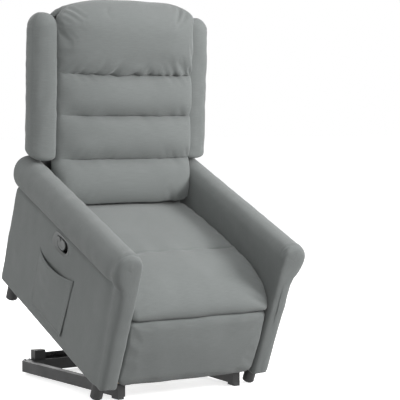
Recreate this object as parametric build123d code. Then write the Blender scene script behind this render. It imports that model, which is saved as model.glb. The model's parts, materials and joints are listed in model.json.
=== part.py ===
from build123d import *
import math
import os

# Lift recliner chair, in millimetres, +Z up, +X to the right of somebody who looks at its front, front towards -Y.
# The model stands in the raised (stand-up) pose. Everything that tilts with the lift is drawn in the chair's own
# lowered frame and then turned by LIFT_ANGLE about the lift pivot. The floor is z = 0 in both frames.

# ---------------------------------------------------------------- driving dimensions
# lift
LIFT_ANGLE = 23.0  # tilt of the seat body from lowered to raised, degrees
PIVOT_Y = -352.0  # lift pivot, low at the front
PIVOT_Z = 60.0

# arms and side panels (lowered frame)
SEAT_WIDTH = 514.0  # clear width between the arms
PANEL_THICK = 69.5
PANEL_FRONT_Y = -400.0
PANEL_REAR_Y = 339.0
PANEL_BOTTOM_Z = 60.0
NECK_Z = 415.0  # where the side panel meets the arm roll
ROLL_R = 48.5
ROLL_Z = 484.0
COVER_THICK = 12.0  # padding and fabric over the arm frame
ARM_BOARD = 18.0
GLIDE_PLAY = 2.75  # room round a glide inside the cover of its panel
GLIDE_BOTTOM_Z = 3.0
GLIDE_FRONT_Y = -352.0
GLIDE_REAR_Y = 296.0

# seat
SEAT_TOP_Z = 410.0
SEAT_REAR_Y = 178.0
SEAT_BREAK_Y = -194.0  # where the flat of the seat begins to fall to the front roll
SEAT_NOSE_Y = -405.0
SEAT_UNDER_Z = 321.0
NOSE_UNDER_Z = 304.0
RAIL_HEIGHT = 30.0
RAIL_THICK = 22.0
RAIL_TOP_Z = 316.0
SPRING_WIRE_R = 2.0
SPRING_COUNT = 5

# back, in its own frame: s runs up along it, t from its front face to the rear
BACK_LEAN = 20.0  # lean behind the vertical when lowered, degrees
BACK_FOOT_Y = 187.0
BACK_FOOT_Z = 410.0
BACK_SEAMS = [4.0, 154.0, 300.0, 448.0, 684.0]  # edges of the four cushions along s
BACK_CROWN = 30.0  # how far each cushion stands forward of its seams
CUSHION_BACK_T = 30.0
BACK_FRAME_T = (35.0, 108.0)
BACK_SKIN_T = (111.0, 115.0)
BOLSTER_FRONT_T = 2.0
BOLSTER_OUTER = 354.0
BOLSTER_TOP_S = 640.0
BOLSTER_FOOT_Z = 542.0
RECLINE_Y = 304.0
RECLINE_Z = 470.0
RECLINE_PLATE_X = (228.0, 232.0)  # hinge plates of the seat body, inside the back

# footrest and its linkage (lowered frame)
FOOT_TOP_Z = 291.0
FOOT_BOTTOM_Z = 64.0
FOOT_FRONT_Y = -404.0
FOOT_BOARD_Y = (-386.0, -372.0)
FOOT_HALF = 250.0
LINK_A = (-200.0, 224.0)  # fixed pivot of the front arm
LINK_B = (-338.0, 243.0)  # pivot on the footrest
GUIDE_A = (-262.0, 195.5)  # fixed pivot of the guide arm
FRONT_ARM = 156.2
LIFT_ARM = 217.7
GUIDE_ARM = 127.0
CONTROL_ARM = 212.0
FRONT_ANGLE = 3.5  # each arm's angle from straight down towards the front, degrees
LIFT_ARM_ANGLE = 143.7
GUIDE_ANGLE = -5.2
CONTROL_ANGLE = 144.9
GUIDE_PIN_ON_LIFT_ARM = (23.1, -32.0)  # along and across the lifting arm
CONTROL_PIN_ON_FRONT_ARM = (137.1, -26.3)
CONTROL_PIN_ON_FOOT = (34.6, 16.1)
ARM_HALF_WIDTH = 9.0
ARM_GAUGE = 3.0
ARM_PITCH = 4.0  # spacing of the layers of arms
OUTER_LAYER_X = 250.0
RIVET_R = 4.0
OPEN_PIVOT_SLACK = 3.6  # radial play at the pivots where the closed linkage is opened

# base
TUBE_HEIGHT = 38.0
TUBE_WIDTH = 25.0
TUBE_WALL = 2.5
BASE_LIFT = 8.0  # height of the feet under the tubes
BASE_REAR_Y = 250.0
BASE_FRONT_Y = -368.0
BASE_REAR_HALF = 272.0
BASE_FRONT_HALF = 232.0
REAR_TUBE_DEPTH = 38.0
BLOCK_SIZE = 40.0
BLOCK_INSET = 59.0  # from the side tube to the inner face of a rest block
ANGLE_HEIGHT = 20.0
ANGLE_GAUGE = 3.0
REAR_FOOT_R = 15.0
HINGE_PIN_R = 6.0
EAR_GAUGE = 4.0
EAR_R = 11.0

# lift frame and actuator
RAIL_X = (209.5, 229.5)
LIFT_RAIL_Z = (82.0, 107.0)
LIFT_RAIL_Y = (-335.0, 282.0)
HINGE_PLATE_X = (216.0, 223.0)
LEVER = 120.0  # lift pivot to the pin of the actuator rod
TORQUE_TUBE_R = 12.0
ACTUATOR_Y = 215.0
ACTUATOR_Z = 112.0
ACTUATOR_TUBE_R = 16.0
GEARBOX = (116.0, 184.0)  # start and end along the actuator, from its rear pin
GEARBOX_HALF = (32.0, 30.0)  # half its width and height
MOTOR_R = 27.0
MOTOR_LENGTH = 118.0
TUBE_END = 430.0
GLAND_LENGTH = 12.0
REAR_LINK_HALF = 11.5
REAR_PIN_HALF = 20.0
CHEEK_R = 13.0
EYE_R = 14.0
EYE_HALF = 8.0
LUG_GAUGE = 4.0
LUG_HALF_WIDTH = 17.0
INLET_X = 115.0
INLET_SIZE = (50.0, 32.0)
INLET_BORE_R = 7.0
ROD_R = 9.0
PIN_R = 6.0
PIN_PLAY = 0.05
ROD_END_SLACK = 3.2

# latch and pocket on the left arm
LATCH_Y = -20.0
LATCH_Z = 379.0
LATCH_SIZE = (116.0, 62.0)
LATCH_OPENING = (92.0, 42.0)
BEZEL_PROUD = 4.0
CUP_DEPTH = 24.0
POCKET_Y = (-148.0, 104.0)
POCKET_Z = (84.0, 312.0)
POCKET_SAG = 22.0
POCKET_DEPTH = (7.0, 19.0)  # at the bottom and at the mouth
POCKET_CLOTH = 2.5

GAP = 0.5  # clearance between pieces that move on each other

# ---------------------------------------------------------------- worked-out values
ARM_IN = SEAT_WIDTH / 2
ARM_OUT = ARM_IN + PANEL_THICK
ROLL_X = ARM_IN + ROLL_R
ARM_MID = (ARM_IN + ARM_OUT) / 2
GLIDE_R = PANEL_THICK / 2 - COVER_THICK - GLIDE_PLAY
TUBE_Z = (BASE_LIFT, BASE_LIFT + TUBE_HEIGHT)
CUSHION_HALF = ARM_IN - 3.0
RAIL_OUT = OUTER_LAYER_X
LAYERS = [OUTER_LAYER_X - i * ARM_PITCH for i in range(5)]  # plate, guide, lifting, front, control
LIFT_PIN_LOW = (PIVOT_Y + LEVER * math.sin(math.radians(LIFT_ANGLE)),
                PIVOT_Z + LEVER * math.cos(math.radians(LIFT_ANGLE)))
LIFT_PIN_HIGH = (PIVOT_Y, PIVOT_Z + LEVER)


def actuator_line(pin):
    """Length and rise, in degrees, of the line from the actuator's rear pivot to the rod pin."""
    dy, dz = ACTUATOR_Y - pin[0], pin[1] - ACTUATOR_Z
    return math.hypot(dy, dz), math.degrees(math.atan2(dz, dy))


ACTUATOR_LENGTH, ACTUATOR_RISE = actuator_line(LIFT_PIN_HIGH)
ACTUATOR_SHORT, ACTUATOR_RISE_LOW = actuator_line(LIFT_PIN_LOW)
ACTUATOR_STROKE = ACTUATOR_LENGTH - ACTUATOR_SHORT


def link_dir(angle):
    a = math.radians(angle)
    return (-math.sin(a), -math.cos(a))


def along(start, angle, length, across=0.0):
    u, w = link_dir(angle), link_dir(angle + 90)
    return (start[0] + length * u[0] + across * w[0], start[1] + length * u[1] + across * w[1])


LINK_M = along(LINK_A, FRONT_ANGLE, FRONT_ARM)
GUIDE_N = along(LINK_M, LIFT_ARM_ANGLE, *GUIDE_PIN_ON_LIFT_ARM)
CONTROL_K = along(LINK_A, FRONT_ANGLE, *CONTROL_PIN_ON_FRONT_ARM)
CONTROL_F = (LINK_B[0] + CONTROL_PIN_ON_FOOT[0], LINK_B[1] + CONTROL_PIN_ON_FOOT[1])

CHAIR = Pos(0, PIVOT_Y, PIVOT_Z) * Rot(LIFT_ANGLE, 0, 0) * Pos(0, -PIVOT_Y, -PIVOT_Z)
BACK = CHAIR * Pos(0, BACK_FOOT_Y, BACK_FOOT_Z) * Rot(-BACK_LEAN, 0, 0)
ACTUATOR = Pos(0, ACTUATOR_Y, ACTUATOR_Z) * Rot(-ACTUATOR_RISE, 0, 0)


# ---------------------------------------------------------------- helpers
def block(x, y, z):
    """A box from three (low, high) pairs."""
    middle = Pos((x[0] + x[1]) / 2, (y[0] + y[1]) / 2, (z[0] + z[1]) / 2)
    return middle * Box(x[1] - x[0], y[1] - y[0], z[1] - z[0])


def rod_x(y, z, x0, x1, r):
    return Pos((x0 + x1) / 2, y, z) * Rot(0, 90, 0) * Cylinder(r, x1 - x0)


def rod_y(x, z, y0, y1, r):
    return Pos(x, (y0 + y1) / 2, z) * Rot(90, 0, 0) * Cylinder(r, y1 - y0)


def plate_x(points, x0, x1):
    """A flat plate with an outline of (y, z) points, between two X planes."""
    face = make_face(Polyline(*points, close=True))
    return extrude(Plane.YZ.offset(x0) * face, amount=x1 - x0, dir=(1, 0, 0))


def plate_z(points, z0, z1):
    face = make_face(Polyline(*points, close=True))
    return extrude(Plane.XY.offset(z0) * face, amount=z1 - z0)


def bar_x(p, q, x0, x1, half):
    """A flat bar with round ends about two (y, z) pivots."""
    length = math.dist(p, q)
    turn = math.degrees(math.atan2(q[1] - p[1], q[0] - p[0]))
    middle = Pos((x0 + x1) / 2, (p[0] + q[0]) / 2, (p[1] + q[1]) / 2)
    body = middle * Rot(turn, 0, 0) * Box(x1 - x0, length, 2 * half)
    return body + rod_x(*p, x0, x1, half) + rod_x(*q, x0, x1, half)


def both(solid):
    """A piece and its mirror image on the other side of the chair."""
    return [solid, mirror(solid, about=Plane.YZ)]


def one(solid):
    """The single solid of a shape that a cut or a union has made."""
    solids = solid.solids()
    assert len(solids) == 1, f"{len(solids)} solids where one is meant"
    return solids[0]


def crowned(points):
    """A closed face through (kind, points): a straight line to a point, or an arc through two."""
    edges = []
    here = points[0]
    for step in points[1:]:
        if len(step) == 2 and isinstance(step[0], tuple):
            edges.append(ThreePointArc(here, step[0], step[1]))
            here = step[1]
        else:
            edges.append(Line(here, step))
            here = step
    if math.dist(here, points[0]) > 1e-6:
        edges.append(Line(here, points[0]))
    return make_face(edges)


# ---------------------------------------------------------------- base
def tube_outline(inset, rear, front, chamfer):
    """Plan of a side tube of the right side, which toes in towards the front."""
    slope = (BASE_REAR_HALF - BASE_FRONT_HALF) / (BASE_REAR_Y - BASE_FRONT_Y)

    def outer(y):
        return BASE_FRONT_HALF + slope * (y - BASE_FRONT_Y)

    o, w = inset, TUBE_WIDTH - inset
    return [
        (outer(front) - o, front),
        (outer(rear - chamfer) - o, rear - chamfer),
        (outer(rear) - max(chamfer, o), rear),
        (outer(rear) - w, rear),
        (outer(front) - w, front),
    ]


def base_nodes():
    z0, z1 = TUBE_Z
    outer = plate_z(tube_outline(0, BASE_REAR_Y, BASE_FRONT_Y, 20), z0, z1)
    bore_y = (BASE_REAR_Y - REAR_TUBE_DEPTH, BASE_FRONT_Y)
    bore = plate_z(tube_outline(TUBE_WALL, bore_y[0], bore_y[1], 0.1), z0 + TUBE_WALL, z1 - TUBE_WALL)
    side = one(outer - bore)

    cap = one(plate_z(tube_outline(TUBE_WALL + 0.3, BASE_FRONT_Y + 22, BASE_FRONT_Y, 0.1),
                      z0 + TUBE_WALL + 0.3, z1 - TUBE_WALL - 0.3))

    y0 = BASE_REAR_Y - REAR_TUBE_DEPTH
    cross = block((-260, 260), (y0, BASE_REAR_Y), TUBE_Z)
    cross -= block((-261, 261), (y0 + TUBE_WALL, BASE_REAR_Y - TUBE_WALL), (z0 + TUBE_WALL, z1 - TUBE_WALL))
    for tube in both(outer):
        cross -= tube
    cross = max(cross.solids(), key=lambda s: s.volume)

    block_in = BASE_REAR_HALF - TUBE_WIDTH - BLOCK_INSET
    angle_half = block_in - 6
    angle = block((-angle_half, angle_half), (BASE_REAR_Y - 15, BASE_REAR_Y), (z1, z1 + ANGLE_GAUGE))
    angle += block((-angle_half, angle_half), (BASE_REAR_Y - ANGLE_GAUGE, BASE_REAR_Y), (z1, z1 + ANGLE_HEIGHT))

    rest = block((block_in, block_in + BLOCK_SIZE), (y0 + 3, BASE_REAR_Y - 3), (z1, LIFT_RAIL_Z[0] - 2))
    front_foot = plate_z([(BASE_FRONT_HALF - 20, BASE_FRONT_Y), (BASE_FRONT_HALF, BASE_FRONT_Y),
                          (BASE_FRONT_HALF + 2, BASE_FRONT_Y + 40), (BASE_FRONT_HALF - 18, BASE_FRONT_Y + 45)],
                         0, BASE_LIFT)
    rear_foot = Pos(BASE_REAR_HALF - 40, BASE_REAR_Y - 19, BASE_LIFT / 2) * Cylinder(REAR_FOOT_R, BASE_LIFT)

    ears = []
    for x0 in (HINGE_PLATE_X[0] - GAP - EAR_GAUGE, HINGE_PLATE_X[1] + GAP):
        ear = block((x0, x0 + EAR_GAUGE), (PIVOT_Y - EAR_R, PIVOT_Y + EAR_R), (z1, PIVOT_Z))
        ear += rod_x(PIVOT_Y, PIVOT_Z, x0, x0 + EAR_GAUGE, EAR_R)
        ears.append(one(ear - rod_x(PIVOT_Y, PIVOT_Z, x0 - 1, x0 + EAR_GAUGE + 1, HINGE_PIN_R)))
    pin_x = (HINGE_PLATE_X[0] - GAP - EAR_GAUGE - 3, HINGE_PLATE_X[1] + GAP + EAR_GAUGE)
    pin = rod_x(PIVOT_Y, PIVOT_Z, *pin_x, HINGE_PIN_R)

    stand = []
    for x0 in (REAR_LINK_HALF + 1, -REAR_LINK_HALF - 1 - EAR_GAUGE):
        foot_y = (y0, y0 + 36)
        cheek = plate_x([(foot_y[0], z1), (foot_y[1] - 14, z1), (ACTUATOR_Y + CHEEK_R, ACTUATOR_Z),
                         (ACTUATOR_Y - CHEEK_R, ACTUATOR_Z)], x0, x0 + EAR_GAUGE)
        cheek += rod_x(ACTUATOR_Y, ACTUATOR_Z, x0, x0 + EAR_GAUGE, CHEEK_R)
        stand.append(one(cheek - rod_x(ACTUATOR_Y, ACTUATOR_Z, x0 - 1, x0 + EAR_GAUGE + 1, PIN_R)))
    rear_pin = rod_x(ACTUATOR_Y, ACTUATOR_Z, -REAR_PIN_HALF, REAR_PIN_HALF, PIN_R)

    inlet_y = y0 - INLET_SIZE[1]
    inlet = block((INLET_X - INLET_SIZE[0] / 2, INLET_X + INLET_SIZE[0] / 2), (inlet_y, y0), (z0 + 2, z1 - 2))
    inlet -= Pos(INLET_X, inlet_y, (z0 + z1) / 2) * Rot(90, 0, 0) * Cylinder(INLET_BORE_R, 30)

    return {
        "base_side_tube_left": [mirror(side, about=Plane.YZ)],
        "base_side_tube_right": [side],
        "base_tube_end_plugs": both(cap),
        "base_rear_cross_tube": [cross],
        "base_rear_angle": [one(angle)],
        "base_rest_blocks": both(rest),
        "base_front_feet": both(front_foot),
        "base_rear_feet": both(rear_foot),
        "lift_hinge_brackets": [m for ear in ears for m in both(ear)],
        "lift_and_actuator_pins": both(pin) + [rear_pin],
        "actuator_bracket": stand,
        "power_inlet": [one(inlet)],
    }


# ---------------------------------------------------------------- actuator, along -Y of its own frame
def actuator_nodes():
    start, end = GEARBOX
    bore = rod_x(0, 0, -REAR_PIN_HALF, REAR_PIN_HALF, PIN_R + PIN_PLAY)
    link = rod_x(0, 0, -REAR_LINK_HALF, REAR_LINK_HALF, EYE_R) + rod_y(0, 0, -start, -6, 10)
    link = one(link - bore)
    gearbox = block((-GEARBOX_HALF[0], GEARBOX_HALF[0]), (-end, -start), (-GEARBOX_HALF[1], GEARBOX_HALF[1]))
    gearbox = chamfer(gearbox.edges(), 6)
    motor = Pos(GEARBOX_HALF[0] + MOTOR_LENGTH / 2, -(start + end) / 2, 0) * Rot(0, 90, 0)
    motor *= Cylinder(MOTOR_R, MOTOR_LENGTH)
    motor = chamfer(motor.edges().sort_by(Axis.X)[-1], 4)
    tube = rod_y(0, 0, -TUBE_END, -end, ACTUATOR_TUBE_R) - rod_y(0, 0, -TUBE_END - 1, -end - 6, ROD_R + 3)
    gland = rod_y(0, 0, -TUBE_END - GLAND_LENGTH, -TUBE_END, ACTUATOR_TUBE_R + 3)
    gland -= rod_y(0, 0, -TUBE_END - GLAND_LENGTH - 1, -TUBE_END + 1, ROD_R + 0.1)

    eye_y = -ACTUATOR_LENGTH
    rod = rod_y(0, 0, eye_y + 24, -262, ROD_R)
    eye = rod_x(eye_y, 0, -EYE_HALF, EYE_HALF, EYE_R) + rod_y(0, 0, eye_y, eye_y + 24, ROD_R - 1)
    eye = one(eye - rod_x(eye_y, 0, -EYE_HALF - 1, EYE_HALF + 1, PIN_R))
    pin = rod_x(eye_y, 0, -REAR_PIN_HALF + 1, REAR_PIN_HALF - 1, PIN_R)
    housing = {
        "actuator_rear_link": [link],
        "actuator_gearbox": [one(gearbox)],
        "actuator_motor": [one(motor)],
        "actuator_outer_tube": [one(tube)],
        "actuator_gland": [one(gland)],
    }
    moving = {"actuator_rod": [rod], "actuator_rod_eye": [eye], "actuator_rod_pin": [pin]}
    return housing, moving


# ---------------------------------------------------------------- lift frame under the seat body
def lift_frame_nodes():
    x0, x1 = RAIL_X
    z0, z1 = LIFT_RAIL_Z
    rail = block(RAIL_X, LIFT_RAIL_Y, LIFT_RAIL_Z)
    rail -= block((x0 + 2, x1 - 2), (LIFT_RAIL_Y[0] + 50, LIFT_RAIL_Y[1] + 1), (z0 + 2, z1 - 2))
    px0, px1 = HINGE_PLATE_X
    plate = plate_x([(PIVOT_Y - 8, PIVOT_Z), (PIVOT_Y + 12, PIVOT_Z - 6), (LIFT_RAIL_Y[0] + 40, z0 + 1),
                     (LIFT_RAIL_Y[0] + 40, z1 - 2), (LIFT_RAIL_Y[0] + 2, z1 - 2)], px0, px1)
    plate += rod_x(PIVOT_Y, PIVOT_Z, px0, px1, EAR_R)
    bore = rod_x(PIVOT_Y, PIVOT_Z, px0 - 1, px1 + 1, HINGE_PIN_R + PIN_PLAY)
    rail = one(rail + plate - bore)

    tube = rod_x(LIFT_PIN_LOW[0], (z0 + z1) / 2, -x0, x0, TORQUE_TUBE_R)
    lugs = []
    for lx in (EYE_HALF + 2, -EYE_HALF - 2 - LUG_GAUGE):
        lug = bar_x((LIFT_PIN_LOW[0], (z0 + z1) / 2), LIFT_PIN_LOW, lx, lx + LUG_GAUGE, LUG_HALF_WIDTH)
        lug -= rod_x(*LIFT_PIN_LOW, lx - 1, lx + LUG_GAUGE + 1, PIN_R + ROD_END_SLACK)
        lug -= rod_x(LIFT_PIN_LOW[0], (z0 + z1) / 2, lx - 1, lx + LUG_GAUGE + 1, TORQUE_TUBE_R)
        lugs.append(one(lug))
    rear = block((-x0, x0), (LIFT_RAIL_Y[1] - 20, LIFT_RAIL_Y[1]), LIFT_RAIL_Z)
    rear -= block((-x0 - 1, x0 + 1), (LIFT_RAIL_Y[1] - 18, LIFT_RAIL_Y[1] - 2), (z0 + 2, z1 - 2))

    brackets = []
    for y in (-140.0, 150.0):
        tab = block((x1, ARM_IN), (y, y + 40), (z1 - 4, z1))
        tab += block((ARM_IN - 4, ARM_IN), (y, y + 40), (z1 - 4, z1 + 40))
        brackets += both(one(tab))
    return {
        "lift_rail_left": [mirror(rail, about=Plane.YZ)],
        "lift_rail_right": [rail],
        "lift_torque_tube_and_lugs": [tube] + lugs,
        "lift_rear_cross_tube": [one(rear)],
        "arm_brackets": brackets,
    }


# ---------------------------------------------------------------- arms
def arm_section(inset):
    """Closed (x, z) outline of the right arm: a straight panel with a round roll on top, leaning outwards."""
    r = ROLL_R - inset
    inner, outer = ARM_IN + inset, ARM_OUT - inset
    bottom = PANEL_BOTTOM_Z
    neck = (outer, NECK_Z)
    side = (ROLL_X + r * math.cos(math.radians(20)), ROLL_Z - r * math.sin(math.radians(20)))
    waist = ((neck[0] + side[0]) / 2 - 4, (neck[1] + side[1]) / 2 + 2)
    return crowned([
        (inner, bottom),
        (outer, bottom),
        neck,
        (waist, side),
        ((ROLL_X, ROLL_Z + r), (ROLL_X - r, ROLL_Z)),
        (inner, ROLL_Z - 2),
    ])


def along_y(face, y0, y1):
    return extrude(Plane.XZ.offset(-y0) * face, amount=y1 - y0, dir=(0, 1, 0))


def arm_parts():
    cover = along_y(arm_section(0), PANEL_FRONT_Y, PANEL_REAR_Y)
    hollow = (ARM_IN + COVER_THICK, ARM_OUT - COVER_THICK)
    ends = (PANEL_FRONT_Y + COVER_THICK, PANEL_REAR_Y - COVER_THICK)
    foam_r = ROLL_R - COVER_THICK
    cavity = block(hollow, ends, (PANEL_BOTTOM_Z - 1, ROLL_Z))
    cavity += rod_y(ROLL_X, ROLL_Z, *ends, foam_r + GAP)
    cover -= cavity

    board_x = (ARM_MID - ARM_BOARD / 2, ARM_MID + ARM_BOARD / 2)
    inner_y = (ends[0] + 1, ends[1] - 1)
    frame_z = (PANEL_BOTTOM_Z + 2, ROLL_Z - foam_r - 2)
    frame = block(board_x, inner_y, frame_z)
    wide = (hollow[0] + 1, hollow[1] - 1)
    frame += block(wide, (inner_y[0], inner_y[0] + 30), frame_z)
    frame += block(wide, (inner_y[1] - 30, inner_y[1]), frame_z)
    frame += block(wide, inner_y, (frame_z[1] - ARM_BOARD, frame_z[1]))
    foam = rod_y(ROLL_X, ROLL_Z, *inner_y, foam_r)
    return one(cover), one(frame), foam


def glide(y):
    top = PANEL_BOTTOM_Z + 2
    body = Pos(ARM_MID, y, (GLIDE_BOTTOM_Z + top) / 2) * Cylinder(GLIDE_R, top - GLIDE_BOTTOM_Z)
    return one(chamfer(body.edges().sort_by(Axis.Z)[0], 3))


def arm_nodes():
    cover, frame, foam = arm_parts()
    latch_hole, latch = latch_nodes()
    left_cover = one(mirror(cover, about=Plane.YZ) - latch_hole)
    left_frame = one(mirror(frame, about=Plane.YZ) - latch_hole)
    nodes = {
        "left_arm_cover": [left_cover],
        "right_arm_cover": [cover],
        "left_arm_frame": [left_frame],
        "right_arm_frame": [frame],
        "left_arm_foam": [mirror(foam, about=Plane.YZ)],
        "right_arm_foam": [foam],
        "floor_glides": both(glide(GLIDE_FRONT_Y)) + both(glide(GLIDE_REAR_Y)),
    }
    spacers = []
    for y in (-120.0, 100.0):
        spacers += both(rod_x(y, RAIL_TOP_Z - 28, OUTER_LAYER_X + ARM_GAUGE, ARM_IN, 9))
    nodes["arm_spacers"] = spacers
    nodes.update(latch)
    nodes["side_pocket"] = [pocket()]
    return nodes


# ---------------------------------------------------------------- release latch and pocket, on the left arm
def oval(width, height):
    """A stadium-shaped (y, z) face about the latch's centre."""
    return Plane.YZ * Pos(LATCH_Y, LATCH_Z) * SlotOverall(width, height)


def latch_nodes():
    face_x = -ARM_OUT
    w, h = LATCH_SIZE
    ow, oh = LATCH_OPENING
    wall = 2.5

    def slab(width, height, x0, x1):
        return extrude(Pos(x0, 0, 0) * oval(width, height), amount=x1 - x0, dir=(1, 0, 0))

    back_x = face_x + CUP_DEPTH
    hole = slab(ow + 2 * wall, oh + 2 * wall, face_x - 1, back_x)
    bezel = slab(w, h, face_x - BEZEL_PROUD, face_x) - slab(ow, oh, face_x - BEZEL_PROUD - 1, face_x + 1)
    bezel = chamfer(bezel.faces().sort_by(Axis.X)[0].outer_wire().edges(), 2.5)
    cup = slab(ow + 2 * wall, oh + 2 * wall, face_x, back_x) - slab(ow, oh, face_x - 1, back_x - wall)
    paddle_y = (LATCH_Y - 12, LATCH_Y + 34)
    paddle_z = (LATCH_Z - 16, LATCH_Z + 16)
    hinge = latch_hinge()
    paddle = block((face_x - 1, face_x + 5), paddle_y, paddle_z)
    paddle = fillet(paddle.edges().filter_by(Axis.X).sort_by(Axis.Y)[:2], 12)
    paddle += Pos(hinge[0], hinge[1], LATCH_Z) * Cylinder(5, 32)
    paddle -= Pos(hinge[0], hinge[1], LATCH_Z) * Cylinder(2 + PIN_PLAY, 40)
    pin = Pos(hinge[0], hinge[1], LATCH_Z) * Cylinder(2, 32 + 2 * GAP + 4)
    return hole, {
        "latch_bezel": [one(bezel)],
        "latch_cup_and_pin": [one(cup), pin],
        "latch_lever": [one(paddle)],
    }


def latch_hinge():
    """X and Y of the lever's upright hinge line."""
    return (-ARM_OUT + 6.5, LATCH_Y + 32)


def pocket():
    """An open-topped pouch on the outer face of the left arm, wider at its mouth than at its foot."""
    face_x = -ARM_OUT
    y0, y1 = POCKET_Y
    z0, z1 = POCKET_Z
    low, high = POCKET_DEPTH
    cloth = POCKET_CLOTH
    outer = make_face(Polyline((face_x, z0), (face_x - low, z0), (face_x - high, z1), (face_x, z1), close=True))
    inner = make_face(Polyline((face_x + 1, z0 + 6), (face_x - low + cloth - 0.3, z0 + 6),
                               (face_x - high + cloth, z1 + 1), (face_x + 1, z1 + 1), close=True))
    body = along_y(outer, y0, y1) - along_y(inner, y0 + cloth, y1 - cloth)
    half = (y1 - y0) / 2 - 14
    mid = (y0 + y1) / 2
    sag = crowned([(mid - half, z1 + 1), ((mid, z1 - POCKET_SAG), (mid + half, z1 + 1))])
    body -= extrude(Plane.YZ.offset(face_x - 40) * sag, amount=60, dir=(1, 0, 0))
    return one(body)


# ---------------------------------------------------------------- seat
def seat_nodes():
    half = CUSHION_HALF
    face = crowned([
        (SEAT_REAR_Y, SEAT_UNDER_Z),
        (SEAT_REAR_Y, SEAT_TOP_Z - 14),
        ((SEAT_REAR_Y - 4, SEAT_TOP_Z - 4), (SEAT_REAR_Y - 14, SEAT_TOP_Z)),
        (SEAT_BREAK_Y, SEAT_TOP_Z),
        ((SEAT_NOSE_Y + 52, SEAT_TOP_Z - 20), (SEAT_NOSE_Y, SEAT_TOP_Z - 68)),
        ((SEAT_NOSE_Y + 3, NOSE_UNDER_Z + 14), (SEAT_NOSE_Y + 20, NOSE_UNDER_Z)),
        (-345.0, NOSE_UNDER_Z),
        (-340.0, SEAT_UNDER_Z),
    ])
    cushion = extrude(Plane.YZ.offset(-half) * face, amount=2 * half, dir=(1, 0, 0))

    rail_z = (RAIL_TOP_Z - RAIL_HEIGHT, RAIL_TOP_Z)
    side_x = (RAIL_OUT - RAIL_THICK, RAIL_OUT)
    side_y = (-336.0, 170.0)
    side = block(side_x, side_y, rail_z)
    front = block((-side_x[0], side_x[0]), (side_y[0], side_y[0] + RAIL_THICK), rail_z)
    rear = block((-side_x[0], side_x[0]), (side_y[1] - RAIL_THICK, side_y[1]), rail_z)

    springs = []
    pitch = 2 * side_x[0] / (SPRING_COUNT + 0.6)
    for i in range(SPRING_COUNT):
        x = (i - (SPRING_COUNT - 1) / 2) * pitch
        springs.append(spring(x, side_y[0] + 10, side_y[1] - 10, RAIL_TOP_Z + SPRING_WIRE_R, 22))

    plate = plate_x([(-300, 176), (-225, 176), (-150, 230), (170, 262), (170, 300), (-330, 300),
                     (-330, 262)], OUTER_LAYER_X, OUTER_LAYER_X + ARM_GAUGE)
    fixed_pins = []
    for pivot, end in ((LINK_A, LAYERS[3] - 3), (GUIDE_A, LAYERS[1] - 3)):
        plate -= rod_x(*pivot, OUTER_LAYER_X - 1, OUTER_LAYER_X + ARM_GAUGE + 1, RIVET_R)
        fixed_pins += both(rod_x(*pivot, end, OUTER_LAYER_X + ARM_GAUGE + 1, RIVET_R))

    hinge_x = RECLINE_PLATE_X
    arm = plate_x([(120, 286), (225, 286), (RECLINE_Y + 13, RECLINE_Z - 6), (RECLINE_Y + 13, RECLINE_Z),
                   (RECLINE_Y - 13, RECLINE_Z), (200, 320), (120, 316)], *hinge_x)
    arm += rod_x(RECLINE_Y, RECLINE_Z, *hinge_x, 14)
    arm = one(arm - rod_x(RECLINE_Y, RECLINE_Z, hinge_x[0] - 1, hinge_x[1] + 1, HINGE_PIN_R + PIN_PLAY))
    arm -= block((hinge_x[0] - 1, hinge_x[1] + 1), side_y, rail_z)
    arm = max(arm.solids(), key=lambda s: s.volume)

    skin_y = (PANEL_REAR_Y - 12, PANEL_REAR_Y - 6)
    skin = block((-ARM_IN, ARM_IN), skin_y, (PANEL_BOTTOM_Z + 4, BACK_FOOT_Z - 38))
    return {
        "seat_cushion": [cushion],
        "seat_side_rails": both(side),
        "seat_cross_rails": [front, rear],
        "seat_springs": springs,
        "mechanism_plates": both(one(plate)) + fixed_pins,
        "recline_hinge_plates": both(arm),
        "rear_valance": [skin],
    }


def spring(x, y0, y1, z, sweep_half):
    """A sinuous spring: one wire in even loops, lying flat along Y."""
    loops = 9
    step = (y1 - y0) / loops
    points = [(x, y0, z)]
    for i in range(loops):
        side = sweep_half if i % 2 == 0 else -sweep_half
        points.append((x + side, y0 + i * step + 0.25 * step, z))
        points.append((x + side, y0 + i * step + 0.75 * step, z))
    points.append((x, y1, z))
    path = FilletPolyline(*points, radius=0.2 * step)
    start = Plane(origin=path @ 0, z_dir=path % 0)
    return one(sweep(start * Circle(SPRING_WIRE_R), path=path))


# ---------------------------------------------------------------- footrest and its linkage
def drilled(bar, holes, x0, x1):
    for (pivot, r) in holes:
        bar -= rod_x(*pivot, x0 - 1, x1 + 1, r)
    return one(bar)


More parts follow.
